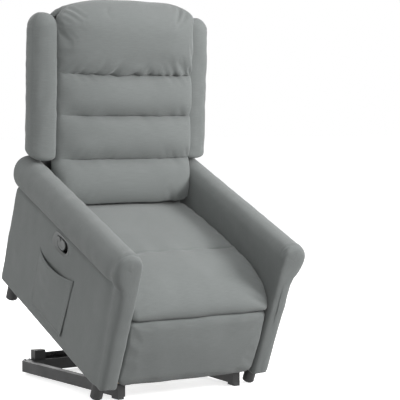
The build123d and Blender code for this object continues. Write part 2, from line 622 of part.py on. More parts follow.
def footrest_nodes():
    run = RIVET_R + PIN_PLAY
    guide_x, lift_x, front_x, control_x = [(x - ARM_GAUGE - 0.5, x - 0.5) for x in LAYERS[1:]]
    front = drilled(bar_x(LINK_A, LINK_M, *front_x, ARM_HALF_WIDTH)
                    + bar_x(LINK_M, CONTROL_K, *front_x, ARM_HALF_WIDTH),
                    [(LINK_A, run), (LINK_M, RIVET_R), (CONTROL_K, RIVET_R)], *front_x)
    lift = drilled(bar_x(LINK_M, LINK_B, *lift_x, ARM_HALF_WIDTH) + bar_x(LINK_M, GUIDE_N, *lift_x, ARM_HALF_WIDTH),
                   [(LINK_M, run), (LINK_B, run), (GUIDE_N, RIVET_R)], *lift_x)
    guide = drilled(bar_x(GUIDE_A, along(GUIDE_A, GUIDE_ANGLE, GUIDE_ARM), *guide_x, ARM_HALF_WIDTH),
                    [(GUIDE_A, run), (along(GUIDE_A, GUIDE_ANGLE, GUIDE_ARM), RIVET_R + OPEN_PIVOT_SLACK)], *guide_x)
    control = drilled(bar_x(CONTROL_K, along(CONTROL_K, CONTROL_ANGLE, CONTROL_ARM), *control_x, ARM_HALF_WIDTH),
                      [(CONTROL_K, run),
                       (along(CONTROL_K, CONTROL_ANGLE, CONTROL_ARM), RIVET_R + OPEN_PIVOT_SLACK)], *control_x)

    board_y = FOOT_BOARD_Y
    bracket_x = front_x
    bracket = plate_x([(board_y[1], LINK_B[1] - 50), (board_y[1], LINK_B[1] + 26), (LINK_B[0], LINK_B[1] + 12),
                       (CONTROL_F[0] + 2, CONTROL_F[1] + 9), (CONTROL_F[0] + 8, CONTROL_F[1] - 3),
                       (LINK_B[0] + 6, LINK_B[1] - 10)], *bracket_x)
    bracket += block((bracket_x[0] - 20, bracket_x[1]), (board_y[1], board_y[1] + ARM_GAUGE),
                     (LINK_B[1] - 50, LINK_B[1] + 26))
    bracket = drilled(bracket, [(LINK_B, RIVET_R), (CONTROL_F, RIVET_R)], *bracket_x)

    half = FOOT_HALF
    board = block((-half + 5, half - 5), board_y, (FOOT_BOTTOM_Z + 6, FOOT_TOP_Z - 6))
    face = crowned([
        (board_y[0], FOOT_BOTTOM_Z),
        ((FOOT_FRONT_Y + 3, FOOT_BOTTOM_Z + 4), (FOOT_FRONT_Y, FOOT_BOTTOM_Z + 18)),
        (FOOT_FRONT_Y, FOOT_TOP_Z - 14),
        ((FOOT_FRONT_Y + 3, FOOT_TOP_Z - 3), (board_y[0], FOOT_TOP_Z)),
    ])
    pad = extrude(Plane.YZ.offset(-half) * face, amount=2 * half, dir=(1, 0, 0))

    def rivet(pivot, layer_a, layer_b):
        return both(rod_x(*pivot, min(layer_a[0], layer_b[0]) - 0.4, max(layer_a[1], layer_b[1]) + 0.4, RIVET_R))

    return {
        "front_arm": {"footrest_front_arms":
                      both(front) + rivet(LINK_M, front_x, lift_x) + rivet(CONTROL_K, front_x, control_x)},
        "lift_arm": {"footrest_lift_arms": both(lift) + rivet(GUIDE_N, lift_x, guide_x)},
        "guide_arm": {"footrest_guide_arms": both(guide)},
        "control_arm": {"footrest_control_arms": both(control)},
        "footrest": {"footrest_brackets":
                     both(bracket) + rivet(LINK_B, bracket_x, lift_x) + rivet(CONTROL_F, bracket_x, control_x),
                     "footrest_board": [board], "footrest_pad": [pad]},
    }


# ---------------------------------------------------------------- back, drawn upright: Y is t, Z is s
def back_point(y, z):
    """(t, s) of a point of the lowered frame."""
    a = math.radians(BACK_LEAN)
    dy, dz = y - BACK_FOOT_Y, z - BACK_FOOT_Z
    return (dy * math.cos(a) - dz * math.sin(a), dy * math.sin(a) + dz * math.cos(a))


def back_nodes():
    outline = [(CUSHION_BACK_T, BACK_SEAMS[0]), (0.0, BACK_SEAMS[0])]
    for low, high in zip(BACK_SEAMS, BACK_SEAMS[1:]):
        outline.append(((-BACK_CROWN, (low + high) / 2), (0.0, high)))
    outline.append((CUSHION_BACK_T, BACK_SEAMS[-1]))
    half = CUSHION_HALF
    cushion = extrude(Plane.YZ.offset(-half) * crowned(outline), amount=2 * half, dir=(1, 0, 0))

    t0, t1 = BACK_FRAME_T
    post_x = (236.0, CUSHION_HALF - 1)
    post = block(post_x, (t0, t1), (-16.0, BOLSTER_TOP_S - 20))
    pin_t, pin_s = back_point(RECLINE_Y, RECLINE_Z)
    post -= rod_x(pin_t, pin_s, post_x[0] - 1, post_x[1] + 1, HINGE_PIN_R)
    pin = rod_x(pin_t, pin_s, RECLINE_PLATE_X[0] - 3, post_x[1], HINGE_PIN_R)
    rails = [block((-post_x[0], post_x[0]), (t0, t0 + 40), (s, s + 34)) for s in (128.0, 360.0, BOLSTER_TOP_S - 54)]

    springs = []
    for x in (-130.0, 0.0, 130.0):
        flat = spring(0, 150.0, BOLSTER_TOP_S - 40, 0, 24)
        springs.append(Pos(x, t0 - SPRING_WIRE_R, 0) * Rot(90, 0, 0) * flat)

    foot_t0, foot_s0 = back_point(BACK_FOOT_Y, BOLSTER_FOOT_Z)
    lean = math.tan(math.radians(BACK_LEAN))

    def foot_s(t):
        """The bolster's foot is level in the lowered frame."""
        return foot_s0 + (t - foot_t0) * lean

    inner, outer = CUSHION_HALF + GAP * 2, BOLSTER_OUTER
    rear_t = BACK_SKIN_T[0] - GAP
    side = crowned([
        (rear_t, foot_s(rear_t) + 8),
        (BOLSTER_FRONT_T + 10, foot_s(BOLSTER_FRONT_T + 10)),
        ((BOLSTER_FRONT_T + 2, foot_s(BOLSTER_FRONT_T) + 6), (BOLSTER_FRONT_T, foot_s(BOLSTER_FRONT_T) + 18)),
        (BOLSTER_FRONT_T, BOLSTER_TOP_S - 60),
        ((BOLSTER_FRONT_T + 18, BOLSTER_TOP_S - 18), (BOLSTER_FRONT_T + 60, BOLSTER_TOP_S)),
        (rear_t, BOLSTER_TOP_S - 10),
    ])
    bolster = extrude(Plane.YZ.offset(inner) * side, amount=outer - inner, dir=(1, 0, 0))

    s0, s1 = BACK_SKIN_T
    skin_foot = foot_s(s1) + 8
    skin = block((-outer + 6, outer - 6), BACK_SKIN_T, (skin_foot, BOLSTER_TOP_S - 12))
    skin += block((-CUSHION_HALF, CUSHION_HALF), BACK_SKIN_T, (pin_s - 2, skin_foot + 1))
    flap_half = RECLINE_PLATE_X[0] - 6
    skin += block((-flap_half, flap_half), BACK_SKIN_T, (20.0, pin_s + 1))
    return {
        "back_cushion": [cushion],
        "back_posts": both(one(post)),
        "back_cross_rails": rails,
        "back_springs": springs,
        "recline_hinge_pins": both(pin),
        "left_bolster": [mirror(bolster, about=Plane.YZ)],
        "right_bolster": [bolster],
        "back_skin": [one(skin)],
    }


# ---------------------------------------------------------------- assembly
def placed(nodes, location):
    return {name: [location * solid for solid in solids] for name, solids in nodes.items()}


def assembly():
    """Every body with its nodes, in the raised pose, before the origin is set."""
    housing, rod = actuator_nodes()
    chair = {**lift_frame_nodes(), **arm_nodes(), **seat_nodes()}
    latch = {"latch_lever": chair.pop("latch_lever")}
    bodies = {
        "base": base_nodes(),
        "actuator": placed(housing, ACTUATOR),
        "actuator_rod": placed(rod, ACTUATOR),
        "chair": placed(chair, CHAIR),
        "latch": placed(latch, CHAIR),
        "backrest": placed(back_nodes(), BACK),
    }
    for body, nodes in footrest_nodes().items():
        bodies[body] = placed(nodes, CHAIR)
    return bodies


BODIES = assembly()
WHOLE = Compound([s for nodes in BODIES.values() for solids in nodes.values() for s in solids]).bounding_box()
ORIGIN = (0.0, (WHOLE.min.Y + WHOLE.max.Y) / 2, WHOLE.min.Z)

os.makedirs("parts", exist_ok=True)
for body_nodes in BODIES.values():
    for node, solids in body_nodes.items():
        moved = [Pos(-ORIGIN[0], -ORIGIN[1], -ORIGIN[2]) * s for s in solids]
        shape = moved[0] if len(moved) == 1 else Compound(moved)
        export_step(shape, f"parts/{node}.step")
print("overall", [round(v, 1) for v in (WHOLE.size.X, WHOLE.size.Y, WHOLE.size.Z)], "origin", ORIGIN)
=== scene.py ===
import json
import math

import bmesh
import bpy
import numpy as np
from mathutils import Matrix, Vector
from mathutils.bvhtree import BVHTree


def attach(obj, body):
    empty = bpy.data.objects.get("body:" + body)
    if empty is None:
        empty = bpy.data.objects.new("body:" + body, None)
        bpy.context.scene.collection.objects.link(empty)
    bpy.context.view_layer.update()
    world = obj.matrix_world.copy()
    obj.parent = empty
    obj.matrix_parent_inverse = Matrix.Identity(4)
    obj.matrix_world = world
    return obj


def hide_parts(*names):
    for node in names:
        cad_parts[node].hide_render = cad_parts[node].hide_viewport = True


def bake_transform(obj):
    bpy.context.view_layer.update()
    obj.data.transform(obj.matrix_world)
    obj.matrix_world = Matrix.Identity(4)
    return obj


# Sizes are millimetres in the frame of the lowered chair (front at -Y, floor at Z 0) unless a line says otherwise.
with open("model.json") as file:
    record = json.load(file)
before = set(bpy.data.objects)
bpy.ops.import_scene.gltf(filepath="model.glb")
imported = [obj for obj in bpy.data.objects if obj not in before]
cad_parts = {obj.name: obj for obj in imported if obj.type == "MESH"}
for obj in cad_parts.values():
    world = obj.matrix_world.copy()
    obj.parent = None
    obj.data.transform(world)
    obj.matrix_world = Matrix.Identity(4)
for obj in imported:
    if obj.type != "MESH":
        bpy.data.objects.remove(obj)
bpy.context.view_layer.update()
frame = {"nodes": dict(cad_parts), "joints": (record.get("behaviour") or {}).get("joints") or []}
JOINTS = {j["name"]: j for j in frame["joints"]}

# ---------------------------------------------------------------- frames of the chair and of its back
PIVOT_LOWERED = Vector((0, -0.352, 0.060))
LIFT_ANGLE = -math.radians(JOINTS["lift"]["range_deg"][0])
CHAIR = (Matrix.Translation(Vector(JOINTS["lift"]["pos_m"])) @ Matrix.Rotation(LIFT_ANGLE, 4, "X")
         @ Matrix.Translation(-PIVOT_LOWERED))
BACK_LEAN = math.radians(20)
BACK = CHAIR @ Matrix.Translation((0, 0.187, 0.410)) @ Matrix.Rotation(-BACK_LEAN, 4, "X")


def to_row(points, place):
    """Millimetres in a local frame to metres in the row frame."""
    m = np.array(place)
    return points / 1000 @ m[:3, :3].T + m[:3, 3]


# ---------------------------------------------------------------- shapes
def steps(start, end, coarse, fine=None, near=(), reach=12.0):
    """Positions from start to end, spaced coarse apart, and fine apart within reach of each place in near."""
    fine = fine or coarse
    out = [start]
    while out[-1] < end - 0.4 * fine:
        gap = min([abs(out[-1] - p) for p in near] + [1e9])
        blend = min(1.0, max(0.0, (gap - reach * 0.4) / reach))
        out.append(min(end, out[-1] + fine + (coarse - fine) * blend))
    out[-1] = end
    return np.array(out)


def wave(a, b, size, seed, count=9):
    """Smooth noise of about unit height over two coordinates, with features of the given size."""
    rng = np.random.default_rng(seed)
    total = 0.0
    for _ in range(count):
        turn, phase = rng.uniform(0, 2 * math.pi, 2)
        k = 2 * math.pi / (size * rng.uniform(0.7, 1.5))
        total = total + np.sin(k * (a * math.cos(turn) + b * math.sin(turn)) + phase)
    return total / math.sqrt(count)


def bell(x, width):
    return np.exp(-(x / width) ** 2)


def ramp(x, low, high):
    t = np.clip((x - low) / (high - low), 0, 1)
    return t * t * (3 - 2 * t)


def shaped(value, power):
    """Sine or cosine value bent towards a squarer corner."""
    return np.sign(value) * np.abs(value) ** (2 / power)


def curve_through(points, count):
    """A smooth open curve through the points, evenly sampled by length."""
    p = np.array(points, float)
    p = np.vstack([2 * p[0] - p[1], p, 2 * p[-1] - p[-2]])
    t = np.linspace(0, 1, 24, endpoint=False)[:, None]
    runs = []
    for a, b, c, d in zip(p, p[1:], p[2:], p[3:]):
        runs.append(0.5 * (2 * b + (c - a) * t + (2 * a - 5 * b + 4 * c - d) * t ** 2
                           + (3 * b - a - 3 * c + d) * t ** 3))
    line = np.vstack(runs + [p[-2:-1]])
    return resample(line, np.linspace(0, 1, count))


def grid_of(x, y, z):
    """A grid of points (rows, columns, 3) from coordinates that vary by row, by column or both."""
    return np.stack(np.broadcast_arrays(x, y, z), 2)


def lengths(line):
    return np.concatenate([[0], np.cumsum(np.linalg.norm(np.diff(line, axis=0), axis=1))])


def resample(line, share):
    s = lengths(line)
    return np.stack([np.interp(np.asarray(share) * s[-1], s, line[:, k]) for k in range(line.shape[1])], 1)


def normals(points, wrap=False):
    """Unit normals of a grid of points (rows, columns, 3)."""
    grid = np.concatenate([points[:, -2:-1], points, points[:, 1:2]], 1) if wrap else points
    du = np.gradient(grid, axis=0)
    dv = np.gradient(grid, axis=1)
    n = np.cross(du, dv)
    n /= np.maximum(np.linalg.norm(n, axis=2, keepdims=True), 1e-9)
    return n[:, 1:-1] if wrap else n


def measured(points):
    """Grid coordinates in metres measured along the cloth, for its weave."""
    middle_row, middle_column = points[len(points) // 2], points[:, points.shape[1] // 2]
    u = lengths(middle_column) / 1000
    v = lengths(middle_row) / 1000
    return np.stack(np.meshgrid(u, v, indexing="ij"), 2)


def mesh_of(name, layers, place, material, hold=None):
    """One object from shells. Each shell is (points in mm, faces, uv in metres). Hold pins points in the cloth pass."""
    verts, faces, uvs, base = [], [], [], 0
    for points, shell_faces, uv in layers:
        verts.append(points)
        uvs.append(uv)
        faces.append(shell_faces + base)
        base += len(points)
    verts, uvs, faces = np.vstack(verts), np.vstack(uvs), np.vstack(faces)
    mesh = bpy.data.meshes.new(name)
    mesh.from_pydata(to_row(verts, place).tolist(), [], faces.tolist())
    layer = mesh.uv_layers.new(name="cloth")
    corner = np.zeros(len(mesh.loops), np.int32)
    mesh.loops.foreach_get("vertex_index", corner)
    layer.data.foreach_set("uv", uvs[corner].astype(np.float32).ravel())
    if hold is not None:
        mesh.attributes.new("hold", "FLOAT", "POINT").data.foreach_set("value", hold.astype(np.float32))
    edit = bmesh.new()
    edit.from_mesh(mesh)
    bmesh.ops.remove_doubles(edit, verts=edit.verts, dist=2e-5)
    bmesh.ops.dissolve_degenerate(edit, edges=edit.edges, dist=1e-6)
    bmesh.ops.recalc_face_normals(edit, faces=edit.faces)
    edit.to_mesh(mesh)
    edit.free()
    mesh.shade_smooth()
    mesh.materials.append(material)
    obj = bpy.data.objects.new(name, mesh)
    bpy.context.scene.collection.objects.link(obj)
    return obj


def quads(rows, columns, wrap=False):
    i, j = np.meshgrid(np.arange(rows - 1), np.arange(columns if wrap else columns - 1), indexing="ij")
    k = (j + 1) % columns
    return np.stack([i * columns + j, (i + 1) * columns + j, (i + 1) * columns + k, i * columns + k], 2).reshape(-1, 4)


def padded_sheet(points, height, depth, toward):
    """A closed shell: points raised by height on the side that faces toward, and a lining the depth below."""
    n = normals(points)
    n = n * np.sign(np.sum(n * np.array(toward)))
    rows, columns = points.shape[:2]
    outer = points + n * height[..., None]
    inner = points - n * depth
    count = rows * columns
    face = quads(rows, columns)
    ring = ([i * columns for i in range(rows)] + [(rows - 1) * columns + j for j in range(1, columns)]
            + [i * columns + columns - 1 for i in range(rows - 2, -1, -1)] + [j for j in range(columns - 2, 0, -1)])
    rim = np.array([[a, b, b + count, a + count] for a, b in zip(ring, ring[1:] + ring[:1])])
    uv = measured(points).reshape(-1, 2)
    return np.vstack([outer.reshape(-1, 3), inner.reshape(-1, 3)]), np.vstack([face, face[:, ::-1] + count, rim]), \
        np.vstack([uv, uv])


def tube_skin(rings):
    """A closed skin over rings (rows, columns, 3) whose first and last rings have shrunk to a line or a point."""
    uv = measured(np.concatenate([rings, rings[:, :1]], 1))[:, :-1].reshape(-1, 2)
    return rings.reshape(-1, 3), quads(*rings.shape[:2], wrap=True), uv


def held_lining(grid_hold):
    """Pin weights of a padded sheet: the given ones on its face, all of its lining."""
    return np.concatenate([grid_hold.ravel(), np.ones(grid_hold.size)])


def stuffed(obj, pressure, cap, frames=14):
    """Blows the held shell up as cloth, keeps each point within cap metres of its place, and applies the result."""
    hold = np.zeros(len(obj.data.vertices), np.float32)
    obj.data.attributes["hold"].data.foreach_get("value", hold)
    rest = np.zeros(len(hold) * 3, np.float32)
    obj.data.vertices.foreach_get("co", rest)
    group = obj.vertex_groups.new(name="pinned")
    for level in np.unique(np.round(hold, 1)):
        if level > 0:
            group.add(np.flatnonzero(np.round(hold, 1) == level).tolist(), float(level), "REPLACE")
    cloth = obj.modifiers.new("filling", "CLOTH")
    cloth.settings.quality = 6
    cloth.settings.mass = 0.25
    cloth.settings.tension_stiffness = cloth.settings.compression_stiffness = 12
    cloth.settings.shear_stiffness = 6
    cloth.settings.bending_stiffness = 0.4
    cloth.settings.use_pressure = True
    cloth.settings.uniform_pressure_force = pressure
    cloth.settings.vertex_group_mass = "pinned"
    cloth.settings.effector_weights.gravity = 0
    cloth.settings.pin_stiffness = 1.0
    cloth.collision_settings.use_collision = False
    cloth.point_cache.frame_start, cloth.point_cache.frame_end = 1, frames
    for number in range(1, frames + 1):
        bpy.context.scene.frame_set(number)
    posed = obj.evaluated_get(bpy.context.evaluated_depsgraph_get())
    blown = np.zeros_like(rest)
    posed.data.vertices.foreach_get("co", blown)
    obj.modifiers.remove(cloth)
    bpy.context.scene.frame_set(1)
    move = (blown - rest).reshape(-1, 3)
    far = np.linalg.norm(move, axis=1, keepdims=True)
    move *= np.minimum(1, cap / np.maximum(far, 1e-9))
    obj.data.vertices.foreach_set("co", (rest.reshape(-1, 3) + move).ravel())
    obj.vertex_groups.clear()
    obj.data.attributes.remove(obj.data.attributes["hold"])
    obj.data.update()


def edge_roll(distance, width, height):
    """Height of a panel that rolls down to its seam over the given width."""
    t = np.clip(distance / width, 0, 1)
    return height * (np.sqrt(1 - (1 - t) ** 2) - 1)


def mirrored(points):
    return points * np.array([-1.0, 1.0, 1.0])


# ---------------------------------------------------------------- materials
def nodes_of(name, colour, roughness, metallic=0.0):
    material = bpy.data.materials.new(name)
    material.use_nodes = True
    material.diffuse_color = (*colour, 1)
    tree = material.node_tree
    shader = tree.nodes["Principled BSDF"]
    shader.inputs["Base Color"].default_value = (*colour, 1)
    shader.inputs["Roughness"].default_value = roughness
    shader.inputs["Metallic"].default_value = metallic
    return material, tree, shader


def add(tree, kind, **settings):
    node = tree.nodes.new(kind)
    for key, value in settings.items():
        if key in node.bl_rna.properties:
            setattr(node, key, value)
        else:
            node.inputs[key.replace("_", " ")].default_value = value
    return node


def stops(tree, factor, low, high, start=0.0, end=1.0):
    node = tree.nodes.new("ShaderNodeValToRGB")
    node.color_ramp.elements[0].position, node.color_ramp.elements[0].color = start, (*low, 1)
    node.color_ramp.elements[1].position, node.color_ramp.elements[1].color = end, (*high, 1)
    tree.links.new(factor, node.inputs["Fac"])
    return node.outputs["Color"]


def mix(tree, kind, factor, a, b):
    node = tree.nodes.new("ShaderNodeMix")
    node.data_type, node.blend_type = "RGBA", kind
    for value, socket in ((factor, node.inputs[0]), (a, node.inputs[6]), (b, node.inputs[7])):
        if isinstance(value, bpy.types.NodeSocket):
            tree.links.new(value, socket)
        else:
            socket.default_value = value
    return node.outputs[2]


def maths(tree, operation, a, b=0.0):
    node = tree.nodes.new("ShaderNodeMath")
    node.operation = operation
    for value, socket in zip((a, b), node.inputs):
        if isinstance(value, bpy.types.NodeSocket):
            tree.links.new(value, socket)
        else:
            socket.default_value = value
    return node.outputs[0]


def noise(tree, vector, scale, detail, roughness):
    node = add(tree, "ShaderNodeTexNoise", Scale=scale, Detail=detail, Roughness=roughness)
    tree.links.new(vector, node.inputs["Vector"])
    return node.outputs["Fac"]


def raised(tree, shader, height, strength, distance):
    bump = add(tree, "ShaderNodeBump", Strength=strength, Distance=distance)
    tree.links.new(height, bump.inputs["Height"])
    tree.links.new(bump.outputs["Normal"], shader.inputs["Normal"])


def woven(name, colour, spread, pitch):
    """Plain-weave upholstery: crossing threads, slubs, mottled fibre colour and a soft sheen."""
    material, tree, shader = nodes_of(name, colour, 0.88)
    uv = tree.nodes.new("ShaderNodeUVMap")
    uv.uv_map = "cloth"
    link = tree.links.new

    def threads(direction):
        node = add(tree, "ShaderNodeTexWave", wave_type="BANDS", bands_direction=direction, wave_profile="SIN",
                   Scale=math.tau / 20 / pitch, Distortion=1.2, Detail=1.0, Detail_Scale=0.6)
        link(uv.outputs["UV"], node.inputs["Vector"])
        return node.outputs["Fac"]

    weave = maths(tree, "MULTIPLY", threads("X"), threads("Y"))
    slub = tree.nodes.new("ShaderNodeMapping")
    slub.inputs["Scale"].default_value = (420, 30, 1)
    link(uv.outputs["UV"], slub.inputs["Vector"])
    streak = noise(tree, slub.outputs["Vector"], 1.0, 3.0, 0.6)
    fibre = noise(tree, uv.outputs["UV"], 900.0, 2.0, 0.7)
    cloud = noise(tree, uv.outputs["UV"], 5.0, 4.0, 0.55)
    dark = tuple(c * (1 - spread) for c in colour)
    light = tuple(min(1, c * (1 + spread)) for c in colour)
    base = stops(tree, fibre, dark, light, 0.3, 0.7)
    base = mix(tree, "MULTIPLY", 0.30, base, stops(tree, streak, (0.72,) * 3, (1.1,) * 3, 0.3, 0.68))
    base = mix(tree, "MULTIPLY", 0.25, base, stops(tree, cloud, (0.8,) * 3, (1.08,) * 3, 0.3, 0.7))
    base = mix(tree, "MULTIPLY", 0.25, base, stops(tree, weave, (0.62,) * 3, (1.12,) * 3))
    link(base, shader.inputs["Base Color"])
    height = maths(tree, "ADD", weave, maths(tree, "MULTIPLY", fibre, 0.5))
    height = maths(tree, "ADD", height, maths(tree, "MULTIPLY", streak, 0.6))
    raised(tree, shader, height, 0.35, 0.0006)
    shader.inputs["Sheen Weight"].default_value = 0.25
    shader.inputs["Sheen Roughness"].default_value = 0.5
    shader.inputs["Specular IOR Level"].default_value = 0.25
    return material


def surface(name, colour, roughness, metallic=0.0, grain=400.0, depth=0.0002, spread=0.12, stretch=(1, 1, 1)):
    """A hard finish with grain, slight changes of shade and uneven gloss."""
    material, tree, shader = nodes_of(name, colour, roughness, metallic)
    link = tree.links.new
    place = tree.nodes.new("ShaderNodeTexCoord")
    turn = tree.nodes.new("ShaderNodeMapping")
    turn.inputs["Scale"].default_value = stretch
    link(place.outputs["Object"], turn.inputs["Vector"])
    fine = noise(tree, turn.outputs["Vector"], grain, 3.0, 0.6)
    wide = noise(tree, turn.outputs["Vector"], 14.0, 5.0, 0.6)
    dark = tuple(c * (1 - spread) for c in colour)
    light = tuple(min(1, c * (1 + spread)) for c in colour)
    base = stops(tree, wide, dark, light, 0.3, 0.7)
    base = mix(tree, "MULTIPLY", 0.4, base, stops(tree, fine, (0.8,) * 3, (1.1,) * 3, 0.3, 0.7))
    link(base, shader.inputs["Base Color"])
    gloss = stops(tree, wide, (roughness * 0.85,) * 3, (min(1, roughness * 1.2),) * 3, 0.3, 0.7)
    link(gloss, shader.inputs["Roughness"])
    raised(tree, shader, fine, 0.3, depth)
    return material


FABRIC = woven("grey_upholstery", (0.200, 0.214, 0.210), 0.10, 0.0014)
FINISHES = {
    "charcoal_steel": surface("charcoal_powder_coat", (0.019, 0.0195, 0.020), 0.5, 0.0, 900, 0.0003, 0.07),
    "black_steel": surface("black_powder_coat", (0.012, 0.012, 0.012), 0.45, 0.0, 900, 0.0003, 0.15),
    "zinc_steel": surface("zinc_plate", (0.55, 0.56, 0.58), 0.38, 1.0, 260, 0.0001, 0.12),
    "chrome": surface("polished_rod", (0.62, 0.62, 0.64), 0.12, 1.0, 700, 0.00005, 0.04),
    "aluminium": surface("cast_aluminium", (0.50, 0.50, 0.52), 0.42, 1.0, 500, 0.0003, 0.1),
    "black_plastic": surface("black_moulded_plastic", (0.013, 0.013, 0.013), 0.55, 0.0, 1500, 0.0002, 0.2),
    "grey_plastic": surface("grey_moulded_plastic", (0.135, 0.142, 0.140), 0.48, 0.0, 1600, 0.00015, 0.08),
    "rubber": surface("black_rubber", (0.016, 0.016, 0.016), 0.8, 0.0, 1100, 0.0003, 0.2),
    "timber": surface("pale_timber", (0.52, 0.36, 0.20), 0.7, 0.0, 60, 0.0004, 0.25, stretch=(1, 0.08, 1)),
}
BLACK_PLASTIC = ["base_tube_end_plugs", "power_inlet", "floor_glides", "actuator_gearbox", "actuator_gland",
                 "arm_spacers"]
ZINC = ["seat_springs", "back_springs", "footrest_front_arms", "footrest_lift_arms", "footrest_guide_arms",
        "footrest_control_arms", "footrest_brackets", "mechanism_plates", "recline_hinge_pins",
        "lift_and_actuator_pins", "actuator_rod_pin", "actuator_rod_eye"]
TIMBER = ["seat_side_rails", "seat_cross_rails", "footrest_board", "left_arm_frame", "right_arm_frame",
          "left_arm_foam", "right_arm_foam"]
BLACK_STEEL = ["lift_hinge_brackets", "arm_brackets", "recline_hinge_plates", "back_posts", "back_cross_rails",
               "actuator_bracket", "actuator_motor"]
NODE_SLOTS = {"latch_bezel": "grey_plastic", "latch_cup_and_pin": "black_plastic", "latch_lever": "grey_plastic",
              "actuator_rod": "chrome", "actuator_outer_tube": "aluminium", "actuator_rear_link": "aluminium",
              "base_front_feet": "charcoal_steel", "base_rear_feet": "rubber", "base_rest_blocks": "black_plastic"}
for names, slot_name in ((BLACK_PLASTIC, "black_plastic"), (ZINC, "zinc_steel"), (TIMBER, "timber"),
                         (BLACK_STEEL, "black_steel")):
    NODE_SLOTS.update({node: slot_name for node in names})
for node, piece in frame["nodes"].items():
    finish = FINISHES[NODE_SLOTS.get(node, "charcoal_steel")]
    piece.data.materials.clear()
    piece.data.materials.append(finish)


def soft(piece, body, *nodes, fill=0.7):
    """Hangs a soft piece on its body in place of its CAD solids."""
    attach(piece, body)
    if nodes:
        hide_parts(*nodes)


# ---------------------------------------------------------------- arms
ARM_IN, ARM_OUT, ARM_REAR, ARM_FOOT = 257.0, 326.5, 339.0, 60.0
NECK = (329.5, 416.0)
ARM_OUTLINE = [(ARM_IN, 66), (ARM_IN, 250), (ARM_IN, 430), (ARM_IN + 0.5, 480), (262, 505), (277, 524),
               (301, 532.5), (322, 530), (340, 519), (351, 503), (355.5, 484), (354, 462), (347, 442),
               (337.5, 426), NECK]
LATCH_Y, LATCH_Z = -20.0, 379.0
LATCH_HALF, LATCH_RECESS = (57.0, 30.0), 30
FRONT_START, FRONT_REACH = -386.0, 26.0


def arm_section():
    """The arm's outline as (x, z) points from the inner foot over the roll to the outer foot and back."""
    roll = curve_through(ARM_OUTLINE, 900)
    side = np.linspace(NECK, (ARM_OUT, ARM_FOOT + 8), 300)[1:]
    foot = curve_through([(ARM_OUT, ARM_FOOT + 8), (ARM_OUT - 3, ARM_FOOT + 2), (ARM_OUT - 9, ARM_FOOT),
                          (ARM_IN + 8, ARM_FOOT), (ARM_IN + 2, ARM_FOOT + 2), (ARM_IN, 66)], 120)[1:-1]
    line = np.vstack([roll, side, foot])
    s = lengths(line)
    neck_s = s[899]
    latch_s = neck_s + (NECK[1] - LATCH_Z)
    at = steps(0, s[-1], 7.5, 1.6, (neck_s,), 14)
    at = np.unique(np.concatenate([at, np.arange(latch_s - 34, latch_s + 34, 3.4)]))
    return resample(line, at[:-1] / s[-1])


